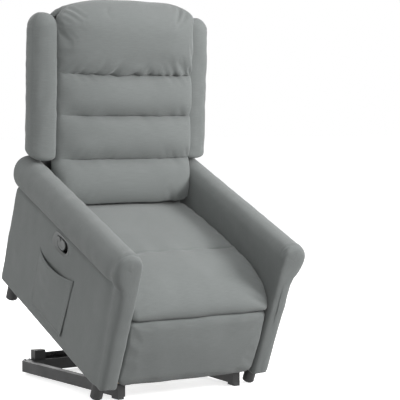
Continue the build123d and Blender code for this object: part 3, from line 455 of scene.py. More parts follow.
def arm_skin(left):
    outline = arm_section()
    x, z = outline[:, 0], outline[:, 1]
    spine = np.stack([np.full(len(x), (ARM_IN + ARM_OUT) / 2), np.clip(z, 78, 482)], 1)
    high = ramp(z, 420, 482)
    spine[:, 0] += high * 13.5
    rows = []
    for turn in np.linspace(0, math.pi / 2, 12):
        rows.append((ARM_REAR - 14 + 14 * shaped(math.cos(turn), 3.2), shaped(math.sin(turn), 3.2)))
    body_y = steps(FRONT_START, ARM_REAR - 14, 8.5, 4.0, (LATCH_Y,), 70)[::-1][1:-1]
    rows += [(y, 1.0) for y in body_y]
    for turn in np.linspace(0, math.pi / 2, 34):
        rows.append((FRONT_START - FRONT_REACH * shaped(math.sin(turn), 3.1), shaped(math.cos(turn), 3.1)))
    y = np.array([r[0] for r in rows])[:, None]
    scale = np.array([r[1] for r in rows])[:, None]
    rounder = ramp(x, 296, 322)[None] * ramp(-z, -NECK[1], -NECK[1] + 30)[None] * (y < 0)
    squarer = 0.45 * ramp(-x, -292, -262)[None] * (y < 0)
    scale = 1 - (1 - scale) * (1 - squarer * ramp(scale, 0.1, 0.8))
    bevel = 6.0 * rounder * bell(y + 410, 30)
    points = grid_of(spine[:, 0] + (x - spine[:, 0]) * scale - bevel, y, spine[:, 1] + (z - spine[:, 1]) * scale)
    out = normals(points, wrap=True)
    centre = np.array([(ARM_IN + ARM_OUT) / 2, 0, 300])
    if np.mean(np.sum(out * (points - centre), 2)) < 0:
        out = -out
    outer = ramp(x, 300, 322)[None]
    inner = ramp(-x, -285, -262)[None]
    panel = outer * ramp(-z, -NECK[1], -NECK[1] + 14)[None]
    low = ramp(z, 62, 90)[None]
    lift = 3.0 * panel * low * bell(y + 20, 330) * bell(z[None] - 240, 190)
    lift += 0.8 * wave(y, z[None], 150, 4 + left) * panel * low
    lift += 0.5 * wave(y, z[None], 60, 9 + left) * ramp(z, 100, 200)[None]
    lift -= 3.0 * bell(z[None] - NECK[1], 2.4) * outer * ramp(y, -360, -320)
    lift -= 1.2 * bell(z[None] - NECK[1], 9) * outer * ramp(y, -366, -330)
    valley_y = -358 - 20 * np.clip((416 - z[None]) / 330, 0, 1) - 26 * np.clip((z[None] - 430) / 90, 0, 1)
    fade = 1 - 0.45 * ramp(-z[None], -330, -120)
    shown = 1.0 if left else 0.0  # only the left arm has the pull beside its front face
    lift -= 6.5 * shown * fade * bell(y - valley_y, 17) * outer * ramp(-z[None], -522, -480)
    lift += 1.0 * shown * fade * bell(y - valley_y + 28, 14) * outer * ramp(-z[None], -480, -430)
    over = ramp(z, 500, 512)[None] * ramp(-x, -346, -330)[None]
    seam_y = -392.0
    lift -= 5.0 * bell(y - seam_y, 2.2) * over
    lift += 1.6 * bell(y - seam_y - 9, 7) * over
    lift += 0.9 * bell(y - seam_y, 22) * np.sin(x / 3.1)[None] * over * wave(x[None], y, 34, 21)
    if left:
        oval = np.sqrt(((y - LATCH_Y) / LATCH_HALF[0]) ** 2 + ((z[None] - LATCH_Z) / LATCH_HALF[1]) ** 2)
        lift = lift * ramp(oval, 1.0, 1.25)
        lift -= LATCH_RECESS * ramp(-oval, -0.97, -0.83) * outer
    points += out * lift[..., None]
    return points


for side_name in ("left", "right"):
    skin = arm_skin(side_name == "left")
    if side_name == "left":
        skin = mirrored(skin)
    arm = mesh_of(f"{side_name}_arm_upholstery", [tube_skin(skin)], CHAIR, FABRIC)
    soft(arm, "chair", f"{side_name}_arm_cover", fill=0.8)

# ---------------------------------------------------------------- release latch on the left arm
BEZEL_HALF, BEZEL_HOLE = (60.0, 32.5), (36.5, 20.5)
HOLE_Y, PADDLE_Y, TAB = -29.5, -21.5, (-2.0, 389.0)


def rounded(half, centre, count=96):
    """(y, z) points of a long oval."""
    turn = np.linspace(0, math.tau, count, endpoint=False)
    straight = half[0] - half[1]
    y = straight * np.clip(2.2 * np.cos(turn), -1, 1) + half[1] * np.cos(turn)
    return np.stack([centre[0] + y, centre[1] + half[1] * np.sin(turn)], 1)


def latch_bezel():
    """A moulded surround: rim, fall to the finger opening, and the wall behind."""
    outer = rounded(BEZEL_HALF, (LATCH_Y, LATCH_Z))
    inner = rounded(BEZEL_HOLE, (HOLE_Y, LATCH_Z))
    profile = [(0.0, -3.0), (0.0, 0.8), (0.02, 2.4), (0.08, 4.0), (0.18, 4.6), (0.30, 4.2), (0.42, 3.0), (0.60, 2.2),
               (0.90, 1.8), (1.0, 0.9), (1.0, -5.0), (0.5, -5.5), (0.0, -3.0)]
    rings = np.empty((len(profile), len(outer), 3))
    for row, (share, proud) in enumerate(profile):
        rings[row, :, 1:] = outer + (inner - outer) * share
        rings[row, :, 0] = -(ARM_OUT + proud)
    return rings


def paddle(half, centre, crown, dish, low):
    """A rounded key cap with a dished top. Crown and low are its top and foot, measured off the panel."""
    profile = [(0.02, low), (0.96, low), (1.0, low + 1), (1.0, crown - 2.2), (0.985, crown - 1.0), (0.94, crown - 0.2),
               (0.86, crown), (0.6, crown - dish), (0.3, crown - 1.6 * dish), (0.0, crown - 1.8 * dish)]
    outline = rounded(half, centre)
    rings = np.empty((len(profile), len(outline), 3))
    for row, (share, proud) in enumerate(profile):
        rings[row, :, 1:] = np.array(centre) + (outline - np.array(centre)) * share
        rings[row, :, 0] = -(ARM_OUT + proud)
    return rings


bezel = mesh_of("release_latch_bezel", [tube_skin(latch_bezel())], CHAIR, FINISHES["grey_plastic"])
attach(bezel, "chair")
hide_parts("latch_bezel")


def painted_shadow_ring():
    """A dark ring around the surround: painted shadow that stands in for the shade in the gap between the surround and
    the fabric.
    """
    outer = rounded((BEZEL_HALF[0] + 2.4, BEZEL_HALF[1] + 2.4), (LATCH_Y, LATCH_Z))
    inner = rounded((BEZEL_HALF[0] - 1.0, BEZEL_HALF[1] - 1.0), (LATCH_Y, LATCH_Z))
    profile = [(0.0, -3.0), (0.0, 0.6), (0.2, 1.0), (0.8, 1.0), (1.0, 0.6), (1.0, -3.0), (0.0, -3.0)]
    return np.stack([np.column_stack([np.full(len(outer), -(ARM_OUT + proud)), outer + (inner - outer) * share])
                     for share, proud in profile])


# A dark pad under the tab: painted shadow that outlines the tab.
tab_painted_shade = paddle((13.5, 9.5), (TAB[0] + 3, TAB[1]), crown=2.1, dish=0.0, low=0.5)
# Painted shadow: the dark ring and pad share one dark finish and ride the chair.
painted_outline = mesh_of("release_latch_painted_shade", [tube_skin(painted_shadow_ring()), tube_skin(tab_painted_shade)], CHAIR, FINISHES["rubber"])
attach(painted_outline, "chair")
key = paddle((25.0, 17.6), (PADDLE_Y, LATCH_Z), crown=2.8, dish=0.8, low=-5.0)
tab = paddle((11.5, 7.5), TAB, crown=4.8, dish=0.3, low=3.0)
lever = mesh_of("release_latch_lever", [tube_skin(key), tube_skin(tab)], CHAIR, FINISHES["grey_plastic"])
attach(lever, "latch")
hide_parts("latch_lever")

# ---------------------------------------------------------------- seat and footrest
SEAT_LINE = [(212, 398), (190, 405), (150, 409), (60, 412), (-60, 412), (-150, 410.5), (-194, 407), (-250, 401),
             (-310, 388), (-355, 368), (-386, 342), (-401, 318), (-403, 305), (-396, 298), (-384, 296)]
SEAT_HALF = 257.0
SEAT_SEAM_Y = -158.0
SEAT_FILLING, FOOTREST_FILLING, BACK_FILLING = 14, 9, 10  # depth of each soft shell
SEAT_STUFFING = (2.5, 0.006)  # pressure, and the most metres that a point may move
FOOTREST_STUFFING = (1.2, 0.0015)
BACK_STUFFING = (4.0, 0.010)
LINED_CLOTH = 2.0  # cloth with its lining, where there is no filling


def across(half, step):
    return steps(-half, half, step, 1.6, (-half, half), 20)


def seat_skin():
    line = curve_through(SEAT_LINE, 1200)
    s = lengths(line)
    seam_s = s[np.argmin(abs(line[:, 0] - SEAT_SEAM_Y))]
    at = steps(0, s[-1], 8, 1.5, (seam_s, s[-1]), 16)
    y, z = resample(line, at / s[-1]).T
    x = across(SEAT_HALF, 8)
    points = grid_of(x[None], y[:, None], z[:, None])
    side = SEAT_HALF - abs(x)
    d = at[:, None]
    height = edge_roll(side, 26, 12)[None] + 0 * d
    height += 7 * bell(x / SEAT_HALF, 0.75)[None] * bell(d - 200, 190)
    height += 9 * bell(x / SEAT_HALF, 0.9)[None] * bell(d - seam_s - 150, 120)
    height -= (4.5 * bell(d - seam_s, 3.4) + 4.0 * bell(d - seam_s, 20)) * ramp(side, 4, 40)[None]
    height += edge_roll(s[-1] - d, 12, 8)
    height += 0.9 * wave(x[None], d, 120, 31)
    height += 1.1 * wave(x[None] * 0.5, d, 40, 32) * (bell(d - seam_s, 34) + bell(side[None], 30))
    hold = ramp(-side, -16, 0)[None] + bell(d - seam_s, 6) + ramp(-d, -16, 0) + ramp(d, s[-1] - 14, s[-1])
    return padded_sheet(points, height, SEAT_FILLING, (0, -0.5, 1)), np.clip(hold, 0, 1)


def foot_skin():
    line = curve_through([(-376, 297), (-388, 296), (-397, 290), (-402, 278), (-404, 240), (-405, 180),
                          (-404, 120), (-402, 84), (-397, 70), (-388, 63.5), (-374, 62)], 900)
    s = lengths(line)
    at = steps(0, s[-1], 7, 2.0, (0, s[-1]), 30)
    y, z = resample(line, at / s[-1]).T
    corner = 34.0
    drop = np.clip(62 + corner - z, 0, corner)
    half = 254.5 - (corner - np.sqrt(corner ** 2 - drop ** 2)) * 0.9
    share = np.sin(np.linspace(-math.pi / 2, math.pi / 2, 90))
    x = half[:, None] * share[None]
    points = grid_of(x, y[:, None], z[:, None])
    side = half[:, None] - abs(x)
    d = at[:, None]
    height = edge_roll(side, 18, 9)
    height += 9 * bell(x / 250, 0.8) * bell(d - s[-1] * 0.48, 110)
    height += 0.7 * wave(x, d, 130, 41) + 0.5 * wave(x, d, 45, 42) * bell(side, 40)
    height -= 2.0 * bell(d, 8)
    hold = ramp(-side, -12, 0) + ramp(-d, -16, 0) + ramp(d, s[-1] - 16, s[-1])
    return padded_sheet(points, height, FOOTREST_FILLING, (0, -1, 0)), np.clip(hold, 0, 1)


seat_shell, seat_hold = seat_skin()
seat = mesh_of("seat_upholstery", [seat_shell], CHAIR, FABRIC, held_lining(seat_hold))
stuffed(seat, *SEAT_STUFFING)
soft(seat, "chair", "seat_cushion", fill=0.75)
foot_shell, foot_hold = foot_skin()
foot = mesh_of("footrest_upholstery", [foot_shell], CHAIR, FABRIC, held_lining(foot_hold))
stuffed(foot, *FOOTREST_STUFFING)
soft(foot, "footrest", "footrest_pad", fill=0.6)

# ---------------------------------------------------------------- back
# Here s runs up the back from the hinge's height and t runs to the rear, square to it.
BACK_SEAMS = [4.0, 154.0, 300.0, 438.0]
HEAD_TOP = 684.0
BACK_HALF = 258.0
FACE_T = -10.0  # where the seams between the cushions lie


def channel(share):
    """Profile of one cushion between its seams, 0 at a seam and 1 at its crown."""
    return (1 - abs(2 * share - 1) ** 3.0) ** 0.55


def back_profile():
    """(s, t) line of the cushion's face from its foot over the head roll to the outside back."""
    line = []
    for low, high in zip(BACK_SEAMS, BACK_SEAMS[1:]):
        share = np.linspace(0, 1, 160, endpoint=False)
        lean = 1 + 0.10 * np.sin(math.tau * (share - 0.1))
        line += list(zip(low + share * (high - low), FACE_T - 24 * channel(share) * lean))
    head = curve_through([(438, FACE_T), (442, FACE_T - 13), (457, FACE_T - 22), (494, FACE_T - 29),
                          (560, FACE_T - 32), (612, FACE_T - 30), (652, FACE_T - 17), (677, 8), (687, 44),
                          (679, 78), (660, 103), (632, 112), (616, 113)], 700)
    return np.array(line + list(map(tuple, head)))


def back_skin_points():
    line = back_profile()
    s_len = lengths(line)
    seam_at = [s_len[160 * k] for k in range(4)]
    at = steps(0, s_len[-1], 7, 1.4, seam_at, 16)
    s, t = resample(line, at / s_len[-1]).T
    gap = np.min([abs(at - p) for p in seam_at], axis=0)
    corner = 40.0
    over = np.clip(s - (HEAD_TOP - corner), 0, corner) / corner
    half = BACK_HALF - 1.5 * bell(gap, 18) - 30 * (1 - np.sqrt(1 - over ** 2))
    half -= 10 * ramp(-s, -150, 0)
    angle = np.linspace(-math.pi / 2, math.pi / 2, 131)
    right = ramp(angle, -0.3, 0.5)[None]
    power = (2.5 + 3.5 * ramp(-s, -170, -40))[:, None] + 3.0 * right
    wide = shaped(np.sin(angle)[None], power) * (1 + 0.026 * right)
    deep = 1 - shaped(np.cos(angle)[None], power)
    along = np.gradient(np.stack([s, t], 1), axis=0)
    along /= np.linalg.norm(along, axis=1, keepdims=True)
    smooth = np.stack([np.convolve(np.pad(along[:, k], 12, mode="edge"), np.ones(25) / 25, "valid")
                       for k in range(2)], 1)
    smooth /= np.linalg.norm(smooth, axis=1, keepdims=True)
    inward = np.stack([-smooth[:, 1], smooth[:, 0]], 1)
    wall = 58.0 - 16 * right
    calm = np.stack([np.convolve(np.pad(column, 30, mode="edge"), np.ones(61) / 61, "valid") for column in (s, t)])
    calm[1] = np.where(s < 470, FACE_T - 17, calm[1])
    even = (np.interp(s, [430, 520], [0, 1]) * (t < 60) + (t >= 60))[:, None]
    flat = 1 - deep
    on_face = np.maximum(ramp(flat, 0.46 - 0.16 * right, 0.97 - 0.11 * right), even)
    x = half[:, None] * wide
    points = grid_of(x, t[:, None] * on_face + calm[1][:, None] * (1 - on_face) + inward[:, 1:] * wall * deep,
                     s[:, None] + inward[:, :1] * wall * deep)
    a = at[:, None]
    height = 5.0 * flat * bell(x / BACK_HALF, 0.8) * ramp(gap, 4, 50)[:, None]
    height += 0.8 * wave(x, a, 130, 51)
    pucker = np.zeros_like(height)
    for k, place in enumerate(seam_at):
        below, above = place - a, a - place
        strength = 4.6 if k == 3 else 1.6
        spots = 0.35 + 0.65 * ramp(wave(x, 0 * x, 330, 64 + k), -0.3, 0.9)
        slanted = wave(x * 1.3 + 0.7 * above * np.sign(x + 20), 0.30 * above, 44, 60 + k)
        pucker += strength * spots * slanted * bell(above - 14, 34) * (a > place)
        pucker += 1.2 * wave(x * 1.2 - 0.7 * below, 0.3 * below, 56, 70 + k) * bell(below - 9, 22) * (a <= place)
    height += pucker * flat
    corner_fold = bell(x + 205, 26) * bell(s[:, None] - 655, 22) + bell(x - 205, 26) * bell(s[:, None] - 655, 22)
    height += 2.0 * corner_fold * np.sin((abs(x) - s[:, None]) / 5.5)
    hold = bell(gap, 5)[:, None] * ramp(flat, 0.3, 0.7) + ramp(deep, 0.75, 0.98)
    hold = np.clip(hold + ramp(a, s_len[-1] - 14, s_len[-1]) + ramp(-a, -14, 0), 0, 1)
    return points, height, hold


back_points, back_height, back_hold = back_skin_points()
back_shell = padded_sheet(back_points, back_height, BACK_FILLING, (0, -1, 0))
back = mesh_of("back_upholstery", [back_shell], BACK, FABRIC, held_lining(back_hold))
stuffed(back, *BACK_STUFFING)
soft(back, "backrest", "back_cushion", fill=0.85)

BOLSTER = dict(inner=246.0, outer=351.5, right_outer=357.5, front=-2.0, rear=112.0, top=640.0, taper=26.0,
               slope=24.0, right_slope=8.0)


def foot_s(t):
    """Height up the back of the bolster's foot, which is level when the chair is lowered."""
    above_hinge = 542.0 - 410.0
    s0, t0 = above_hinge * math.cos(BACK_LEAN), -above_hinge * math.sin(BACK_LEAN)
    return s0 + (t - t0) * math.tan(BACK_LEAN)


def bolster_rings(left):
    rows = []
    base = foot_s(BOLSTER["front"]) + 1
    for turn in np.linspace(0, math.pi / 2, 14):
        rows.append((base + 26 * (1 - shaped(math.cos(turn), 2.6)), shaped(math.sin(turn), 2.6)))
    rows += [(s, 1.0) for s in steps(base + 26, BOLSTER["top"] - 56, 9)[1:-1]]
    for turn in np.linspace(0, math.pi / 2, 22):
        rows.append((BOLSTER["top"] - 56 * (1 - shaped(math.sin(turn), 2.3)), shaped(math.cos(turn), 2.3)))
    s = np.array([r[0] for r in rows])[:, None]
    scale = np.array([r[1] for r in rows])[:, None]
    theta = np.linspace(0, math.tau, 112, endpoint=False)
    outer = BOLSTER["outer"] if left else BOLSTER["right_outer"]
    cx, ct = (BOLSTER["inner"] + outer) / 2, (BOLSTER["front"] + BOLSTER["rear"]) / 2
    hx, ht = (outer - BOLSTER["inner"]) / 2, (BOLSTER["rear"] - BOLSTER["front"]) / 2
    round_rear = 2.5 + 0.9 * ramp(-np.cos(theta), 0.2, 0.9)
    round_rear -= 0.7 * ramp(np.minimum(np.cos(theta), np.sin(theta)), 0.0, 0.6)
    x = cx + hx * shaped(np.cos(theta), round_rear)[None] * scale
    t = ct + ht * shaped(np.sin(theta), round_rear)[None] * (0.35 + 0.65 * scale)
    slope = BOLSTER["slope"] if left else BOLSTER["right_slope"]
    t += slope * (x - cx + 30) / (2 * hx) * ramp(-t, -BOLSTER["rear"] * 0.9, -BOLSTER["front"])
    x -= BOLSTER["taper"] * np.clip(t / BOLSTER["rear"], 0, 1) ** 1.2 * ramp(x, cx - 20, cx + 20)
    slant = (foot_s(t) - foot_s(BOLSTER["front"])) * (1 - ramp(s, base, base + 240))
    points = np.stack([x, t, s + slant], 2)
    out = normals(points, wrap=True)
    centre = np.array([cx, ct, 400])
    if np.mean(np.sum(out * (points - centre), 2)) < 0:
        out = -out
    lift = 0.9 * wave(t + x, s, 120, 80 + left) + 0.5 * wave(t + x, s, 45, 84 + left)
    seam = np.arctan2(t - ct, x - cx)
    lift -= 2.0 * bell((seam + math.radians(38)) * 60, 2.6) * ramp(scale, 0.2, 0.6)
    lift -= 2.0 * bell((s - (BOLSTER["top"] - 46)) + 0.10 * (t - ct), 2.2) * ramp(x, cx + 18, cx + 40)
    lift *= ramp(scale, 0.0, 0.3)
    points += out * lift[..., None]
    return points


for side_name in ("left", "right"):
    rings = bolster_rings(side_name == "left")
    if side_name == "left":
        rings = mirrored(rings)
    bolster = mesh_of(f"{side_name}_bolster_upholstery", [tube_skin(rings)], BACK, FABRIC)
    soft(bolster, "backrest", f"{side_name}_bolster", fill=0.8)


SEWN_X, SEWN_S = 196.0, 214.0


def outside_back():
    """The outside back: a panel behind the bolsters whose edges turn forward onto them, sewn from four pieces."""
    half, low, high = 294.0, foot_s(113) + 4, 628.0
    s = steps(low, high, 8, 1.6, (low, SEWN_S, high), 14)
    x = steps(-half, half, 8, 1.6, (-half, -SEWN_X, SEWN_X, half), 14)
    grid_x, grid_s = np.meshgrid(x, s)
    turned = 14 * ramp(abs(grid_x), 262, 300)
    points = grid_of(grid_x, 114.0 - turned, grid_s)
    edge = np.minimum((half - abs(grid_x)) * 1.4, np.minimum(grid_s - low, high - grid_s))
    height = edge_roll(edge, 12, 3) + 1.5 * bell(grid_x / half, 0.7) + 0.6 * wave(grid_x, grid_s, 110, 91)
    height -= 1.6 * bell(abs(grid_x) - SEWN_X, 2.0) + 0.9 * bell(abs(grid_x) - SEWN_X, 11)
    height -= (1.6 * bell(grid_s - SEWN_S, 2.0) + 0.9 * bell(grid_s - SEWN_S, 11)) * ramp(-abs(grid_x), -SEWN_X, -190)
    return padded_sheet(points, height, LINED_CLOTH, (0, 1, 0))


rear = mesh_of("outside_back_upholstery", [outside_back()], BACK, FABRIC)
soft(rear, "backrest", "back_skin", fill=0.2)


def lower_flap():
    """Fabric that hangs from the foot of the outside back to the valance."""
    line = curve_through([(325, 350), (326.5, 372), (331, 405), (335, 450), (338, 500), (346, 530), (356, 560)], 300)
    s = lengths(line)
    at = steps(0, s[-1], 6, 2.5, (0, s[-1]), 14)
    y, z = resample(line, at / s[-1]).T
    x = across(256, 8)
    points = grid_of(x[None], y[:, None], z[:, None])
    height = 0.8 * wave(x[None], at[:, None], 120, 94) - 1.5 * bell(at - 60, 30)[:, None]
    return padded_sheet(points, height, LINED_CLOTH, (0, 1, 0))


flap = mesh_of("lower_back_flap", [lower_flap()], CHAIR, FABRIC)


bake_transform(flap)


def seat_gusset():
    """A strip joining the rear of the seat to the foot of the back cushion."""
    at = np.linspace(0, 1, 24)[:, None]
    x = across(250, 8)[None]
    points = grid_of(x, 204.0 + 2 * at, 388.0 + 15 * at)
    return padded_sheet(points, 0.3 * wave(x, 40 * at, 60, 96), LINED_CLOTH, (0, -1, 0))


gusset = mesh_of("seat_to_back_gusset", [seat_gusset()], CHAIR, FABRIC)
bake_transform(gusset)


def valance():
    """The panel that closes the rear of the seat box between the arms."""
    half, low, high = 265, 66, 370
    z = steps(low, high, 9, 2.0, (low, high), 14)
    x = across(half, 9)
    grid_x, grid_z = np.meshgrid(x, z)
    edge = np.minimum(half - abs(grid_x), np.minimum(grid_z - low, high - grid_z))
    height = edge_roll(edge, 10, 2) + 0.8 * wave(grid_x, grid_z, 110, 93) + 1.5 * bell(grid_x / half, 0.7)
    return padded_sheet(grid_of(grid_x, 330.0, grid_z), height, LINED_CLOTH, (0, 1, 0))


rear_valance = mesh_of("rear_valance_upholstery", [valance()], CHAIR, FABRIC)
soft(rear_valance, "chair", "rear_valance", fill=0.2)

# ---------------------------------------------------------------- side pocket
POCKET_REAR, POCKET_LENGTH, POCKET_FOOT = 104, 252, 100.0
MOUTH = curve_through([(104, 313), (88, 300), (61, 293), (14, 289), (-60, 292), (-110, 301), (-148, 312)], 200)


def pocket():
    """A cloth pocket sewn on at its back, foot and front, gaping a little at the mouth."""
    share_y = np.linspace(0, 1, 46)
    share_z = np.linspace(0, 1, 44)
    y = POCKET_REAR - POCKET_LENGTH * share_y
    top = np.interp(-y, -MOUTH[:, 0], MOUTH[:, 1])
    z = POCKET_FOOT + (top - POCKET_FOOT)[None] * share_z[:, None]
    gape = 15 * np.sin(math.pi * share_y)[None] ** 0.8 * ramp(share_z[:, None], 0.35, 1.0)
    belly = 5 * np.sin(math.pi * share_y)[None] * np.sin(math.pi * share_z[:, None]) ** 0.7
    points = grid_of(-(ARM_OUT + 3.8 + gape + belly + 3.0 * ramp(share_y, 0.86, 1.0)[None]),
                     y[None] + 16 * (share_y - 0.5)[None] * 2 * (1 - share_z[:, None]), z)
    height = 0.5 * wave(y[None], z, 60, 95) * np.sin(math.pi * share_y)[None]
    return padded_sheet(points, height, 1.6, (-1, 0, 0))


side_pocket = mesh_of("side_pocket_cloth", [pocket()], CHAIR, FABRIC)
soft(side_pocket, "chair", "side_pocket", fill=0)

# ---------------------------------------------------------------- stitches and screw heads
def sockets_of(tree, values):
    tree.interface.new_socket("Geometry", in_out="INPUT", socket_type="NodeSocketGeometry")
    tree.interface.new_socket("Geometry", in_out="OUTPUT", socket_type="NodeSocketGeometry")
    return {name: tree.interface.new_socket(name, in_out="INPUT", socket_type=kind).identifier
            for name, kind in values.items()}


def finished(tree, source, last, given):
    """Ends a tree: real geometry, smooth shading, and its finish."""
    link = tree.links.new
    real = tree.nodes.new("GeometryNodeRealizeInstances")
    smooth = tree.nodes.new("GeometryNodeSetShadeSmooth")
    paint = tree.nodes.new("GeometryNodeSetMaterial")
    out = tree.nodes.new("NodeGroupOutput")
    link(last, real.inputs["Geometry"])
    link(real.outputs["Geometry"], smooth.inputs["Geometry"])
    link(smooth.outputs["Geometry"], paint.inputs["Geometry"])
    link(source.outputs[given], paint.inputs["Material"])
    link(paint.outputs["Geometry"], out.inputs["Geometry"])


def stitch_tree():
    tree = bpy.data.node_groups.new("stitch_row", "GeometryNodeTree")
    ids = sockets_of(tree, {"Pitch": "NodeSocketFloat", "Stitch Length": "NodeSocketFloat",
                            "Thread Radius": "NodeSocketFloat", "Thread": "NodeSocketMaterial"})
    link = tree.links.new
    source = tree.nodes.new("NodeGroupInput")
    curve = tree.nodes.new("GeometryNodeMeshToCurve")
    points = add(tree, "GeometryNodeCurveToPoints", mode="LENGTH")
    bead = add(tree, "GeometryNodeMeshUVSphere", Segments=6, Rings=4)
    half = maths(tree, "MULTIPLY", source.outputs["Stitch Length"], 0.5)
    size = tree.nodes.new("ShaderNodeCombineXYZ")
    place = tree.nodes.new("GeometryNodeInstanceOnPoints")
    link(source.outputs["Geometry"], curve.inputs["Mesh"])
    link(curve.outputs["Curve"], points.inputs["Curve"])
    link(source.outputs["Pitch"], points.inputs["Length"])
    link(source.outputs["Thread Radius"], size.inputs["X"])
    link(source.outputs["Thread Radius"], size.inputs["Y"])
    link(half, size.inputs["Z"])
    link(points.outputs["Points"], place.inputs["Points"])
    link(points.outputs["Rotation"], place.inputs["Rotation"])
    link(bead.outputs["Mesh"], place.inputs["Instance"])
    link(size.outputs["Vector"], place.inputs["Scale"])
    finished(tree, source, place.outputs["Instances"], "Thread")
    return tree, ids


def screw_tree():
    tree = bpy.data.node_groups.new("screw_heads", "GeometryNodeTree")
    ids = sockets_of(tree, {"Head Radius": "NodeSocketFloat", "Head Height": "NodeSocketFloat",
                            "Washer Radius": "NodeSocketFloat", "Finish": "NodeSocketMaterial"})
    link = tree.links.new
    source = tree.nodes.new("NodeGroupInput")
    normal = tree.nodes.new("GeometryNodeInputNormal")
    turn = add(tree, "FunctionNodeAlignRotationToVector", axis="Z")
    head = add(tree, "GeometryNodeMeshCylinder", Vertices=6)
    washer = add(tree, "GeometryNodeMeshCylinder", Vertices=20, Depth=0.0012)
    joined = tree.nodes.new("GeometryNodeJoinGeometry")
    place = tree.nodes.new("GeometryNodeInstanceOnPoints")
    link(source.outputs["Head Radius"], head.inputs["Radius"])
    link(source.outputs["Head Height"], head.inputs["Depth"])
    link(source.outputs["Washer Radius"], washer.inputs["Radius"])
    link(head.outputs["Mesh"], joined.inputs["Geometry"])
    link(washer.outputs["Mesh"], joined.inputs["Geometry"])
    link(normal.outputs["Normal"], turn.inputs["Vector"])
    link(source.outputs["Geometry"], place.inputs["Points"])
    link(turn.outputs["Rotation"], place.inputs["Rotation"])
    link(joined.outputs["Geometry"], place.inputs["Instance"])
    finished(tree, source, place.outputs["Instances"], "Finish")
    return tree, ids


STITCHES, SCREWS = stitch_tree(), screw_tree()
THREAD = surface("grey_thread", (0.15, 0.16, 0.157), 0.7, 0.0, 2500, 0.0001, 0.15)


def grown(name, mesh, made, inputs, body):
    """Runs a tree on a guide mesh and keeps the result as a plain piece on its body."""
    tree, ids = made
    guide = bpy.data.objects.new("guide", mesh)
    bpy.context.scene.collection.objects.link(guide)
    modifier = guide.modifiers.new("grow", "NODES")
    modifier.node_group = tree
    for key, value in inputs.items():
        modifier[ids[key]] = value
    seen_by = bpy.context.evaluated_depsgraph_get()
    result = bpy.data.meshes.new_from_object(guide.evaluated_get(seen_by), depsgraph=seen_by)
    result.name = name
    bpy.data.objects.remove(guide)
    bpy.data.meshes.remove(mesh)
    piece = bpy.data.objects.new(name, result)
    bpy.context.scene.collection.objects.link(piece)
    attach(piece, body)
    return piece


def laid_on(piece, lines, place, proud=0.25, count=160):
    """A mesh of guide lines, each given in mm and dropped onto the nearest surface of a piece."""
    tree = BVHTree.FromPolygons([v.co for v in piece.data.vertices], [tuple(f.vertices) for f in piece.data.polygons])
    verts, edges = [], []
    for line in lines:
        start = len(verts)
        for point in to_row(resample(np.array(line, float), np.linspace(0, 1, count)), place):
            where, normal, _, _ = tree.find_nearest(Vector(point))
            verts.append(where + normal * proud / 1000)
        edges += [(start + k, start + k + 1) for k in range(count - 1)]
    mesh = bpy.data.meshes.new("lines")
    mesh.from_pydata(verts, edges, [])
    return mesh


def sewn(name, piece, lines, place, body):
    """Rows of stitches along lines that lie on a piece."""
    return grown(name, laid_on(piece, lines, place), STITCHES,
                 {"Pitch": 0.0052, "Stitch Length": 0.0040, "Thread Radius": 0.00045, "Thread": THREAD}, body)


for side_name, sign in (("left", -1), ("right", 1)):
    skin = bpy.data.objects[f"{side_name}_arm_upholstery"]
    neck_row = [(sign * 330, y, 409) for y in (-352, -200, 0, 150, 325)]
    roll_row = [(sign * (ARM_IN + 47 + 55 * math.cos(a)), -384, 484 + 55 * math.sin(a))
                for a in np.linspace(-0.5, 3.0, 30)]
    sewn(f"{side_name}_arm_stitches", skin, [neck_row, roll_row], CHAIR, "chair")

pocket_edge = [(-345, y, z) for y, z in [(96, 300), (100, 200), (112, 108), (60, 106), (-100, 106), (-156, 108),
                                         (-150, 200), (-142, 300)]]
mouth_row = [(-352, y, z - 9) for y, z in MOUTH]
sewn("side_pocket_stitches", side_pocket, [pocket_edge, mouth_row], CHAIR, "chair")
back_rows = [[(sign * (SEWN_X + 7), 118, s) for s in (200, 400, 620)] for sign in (-1, 1)]
back_rows.append([(x, 118, SEWN_S + 7) for x in (-190, 0, 190)])
sewn("outside_back_stitches", rear, back_rows, BACK, "backrest")


def screw_guide(spots, place):
    """A tiny face for each spot, which gives the screw heads there their direction."""
    verts, faces = [], []
    m = np.array(place)
    for point, normal in spots:
        centre = Vector((to_row(np.array([point], float), place))[0])
        out = Vector(m[:3, :3] @ np.array(normal, float))
        side = out.orthogonal().normalized() * 1e-5
        other = out.cross(side).normalized() * 1e-5
        first = len(verts)
        verts += [centre, centre + side, centre + other]
        faces.append((first, first + 1, first + 2))
    mesh = bpy.data.meshes.new("spots")
    mesh.from_pydata(verts, [], faces)
    return mesh


FIXED = Matrix.Translation((0, -PIVOT_LOWERED.y + JOINTS["lift"]["pos_m"][1], 0))


def screws(name, spots, place, body, slot_name, radius=5.0):
    return grown(name, screw_guide(spots, place), SCREWS,
                 {"Head Radius": radius / 1000, "Head Height": 0.007, "Washer Radius": radius * 1.7 / 1000,
                  "Finish": FINISHES[slot_name]}, body)


base_spots = [((side * x, y, 46), (0, 0, 1)) for side in (-1, 1) for x, y in ((254, 242), (238, 240))]
base_spots += [((x, 250, 56), (0, 1, 0)) for x in (-140, -60, 60, 140)]
screws("base_screw_heads", base_spots, FIXED, "base", "zinc_steel", 3.6)
chair_spots = [((side * 243, y, 107), (0, 0, 1)) for side in (-1, 1) for y in (-128, -112, 162, 178)]
screws("arm_bracket_screw_heads", chair_spots, CHAIR, "chair", "zinc_steel", 4.0)

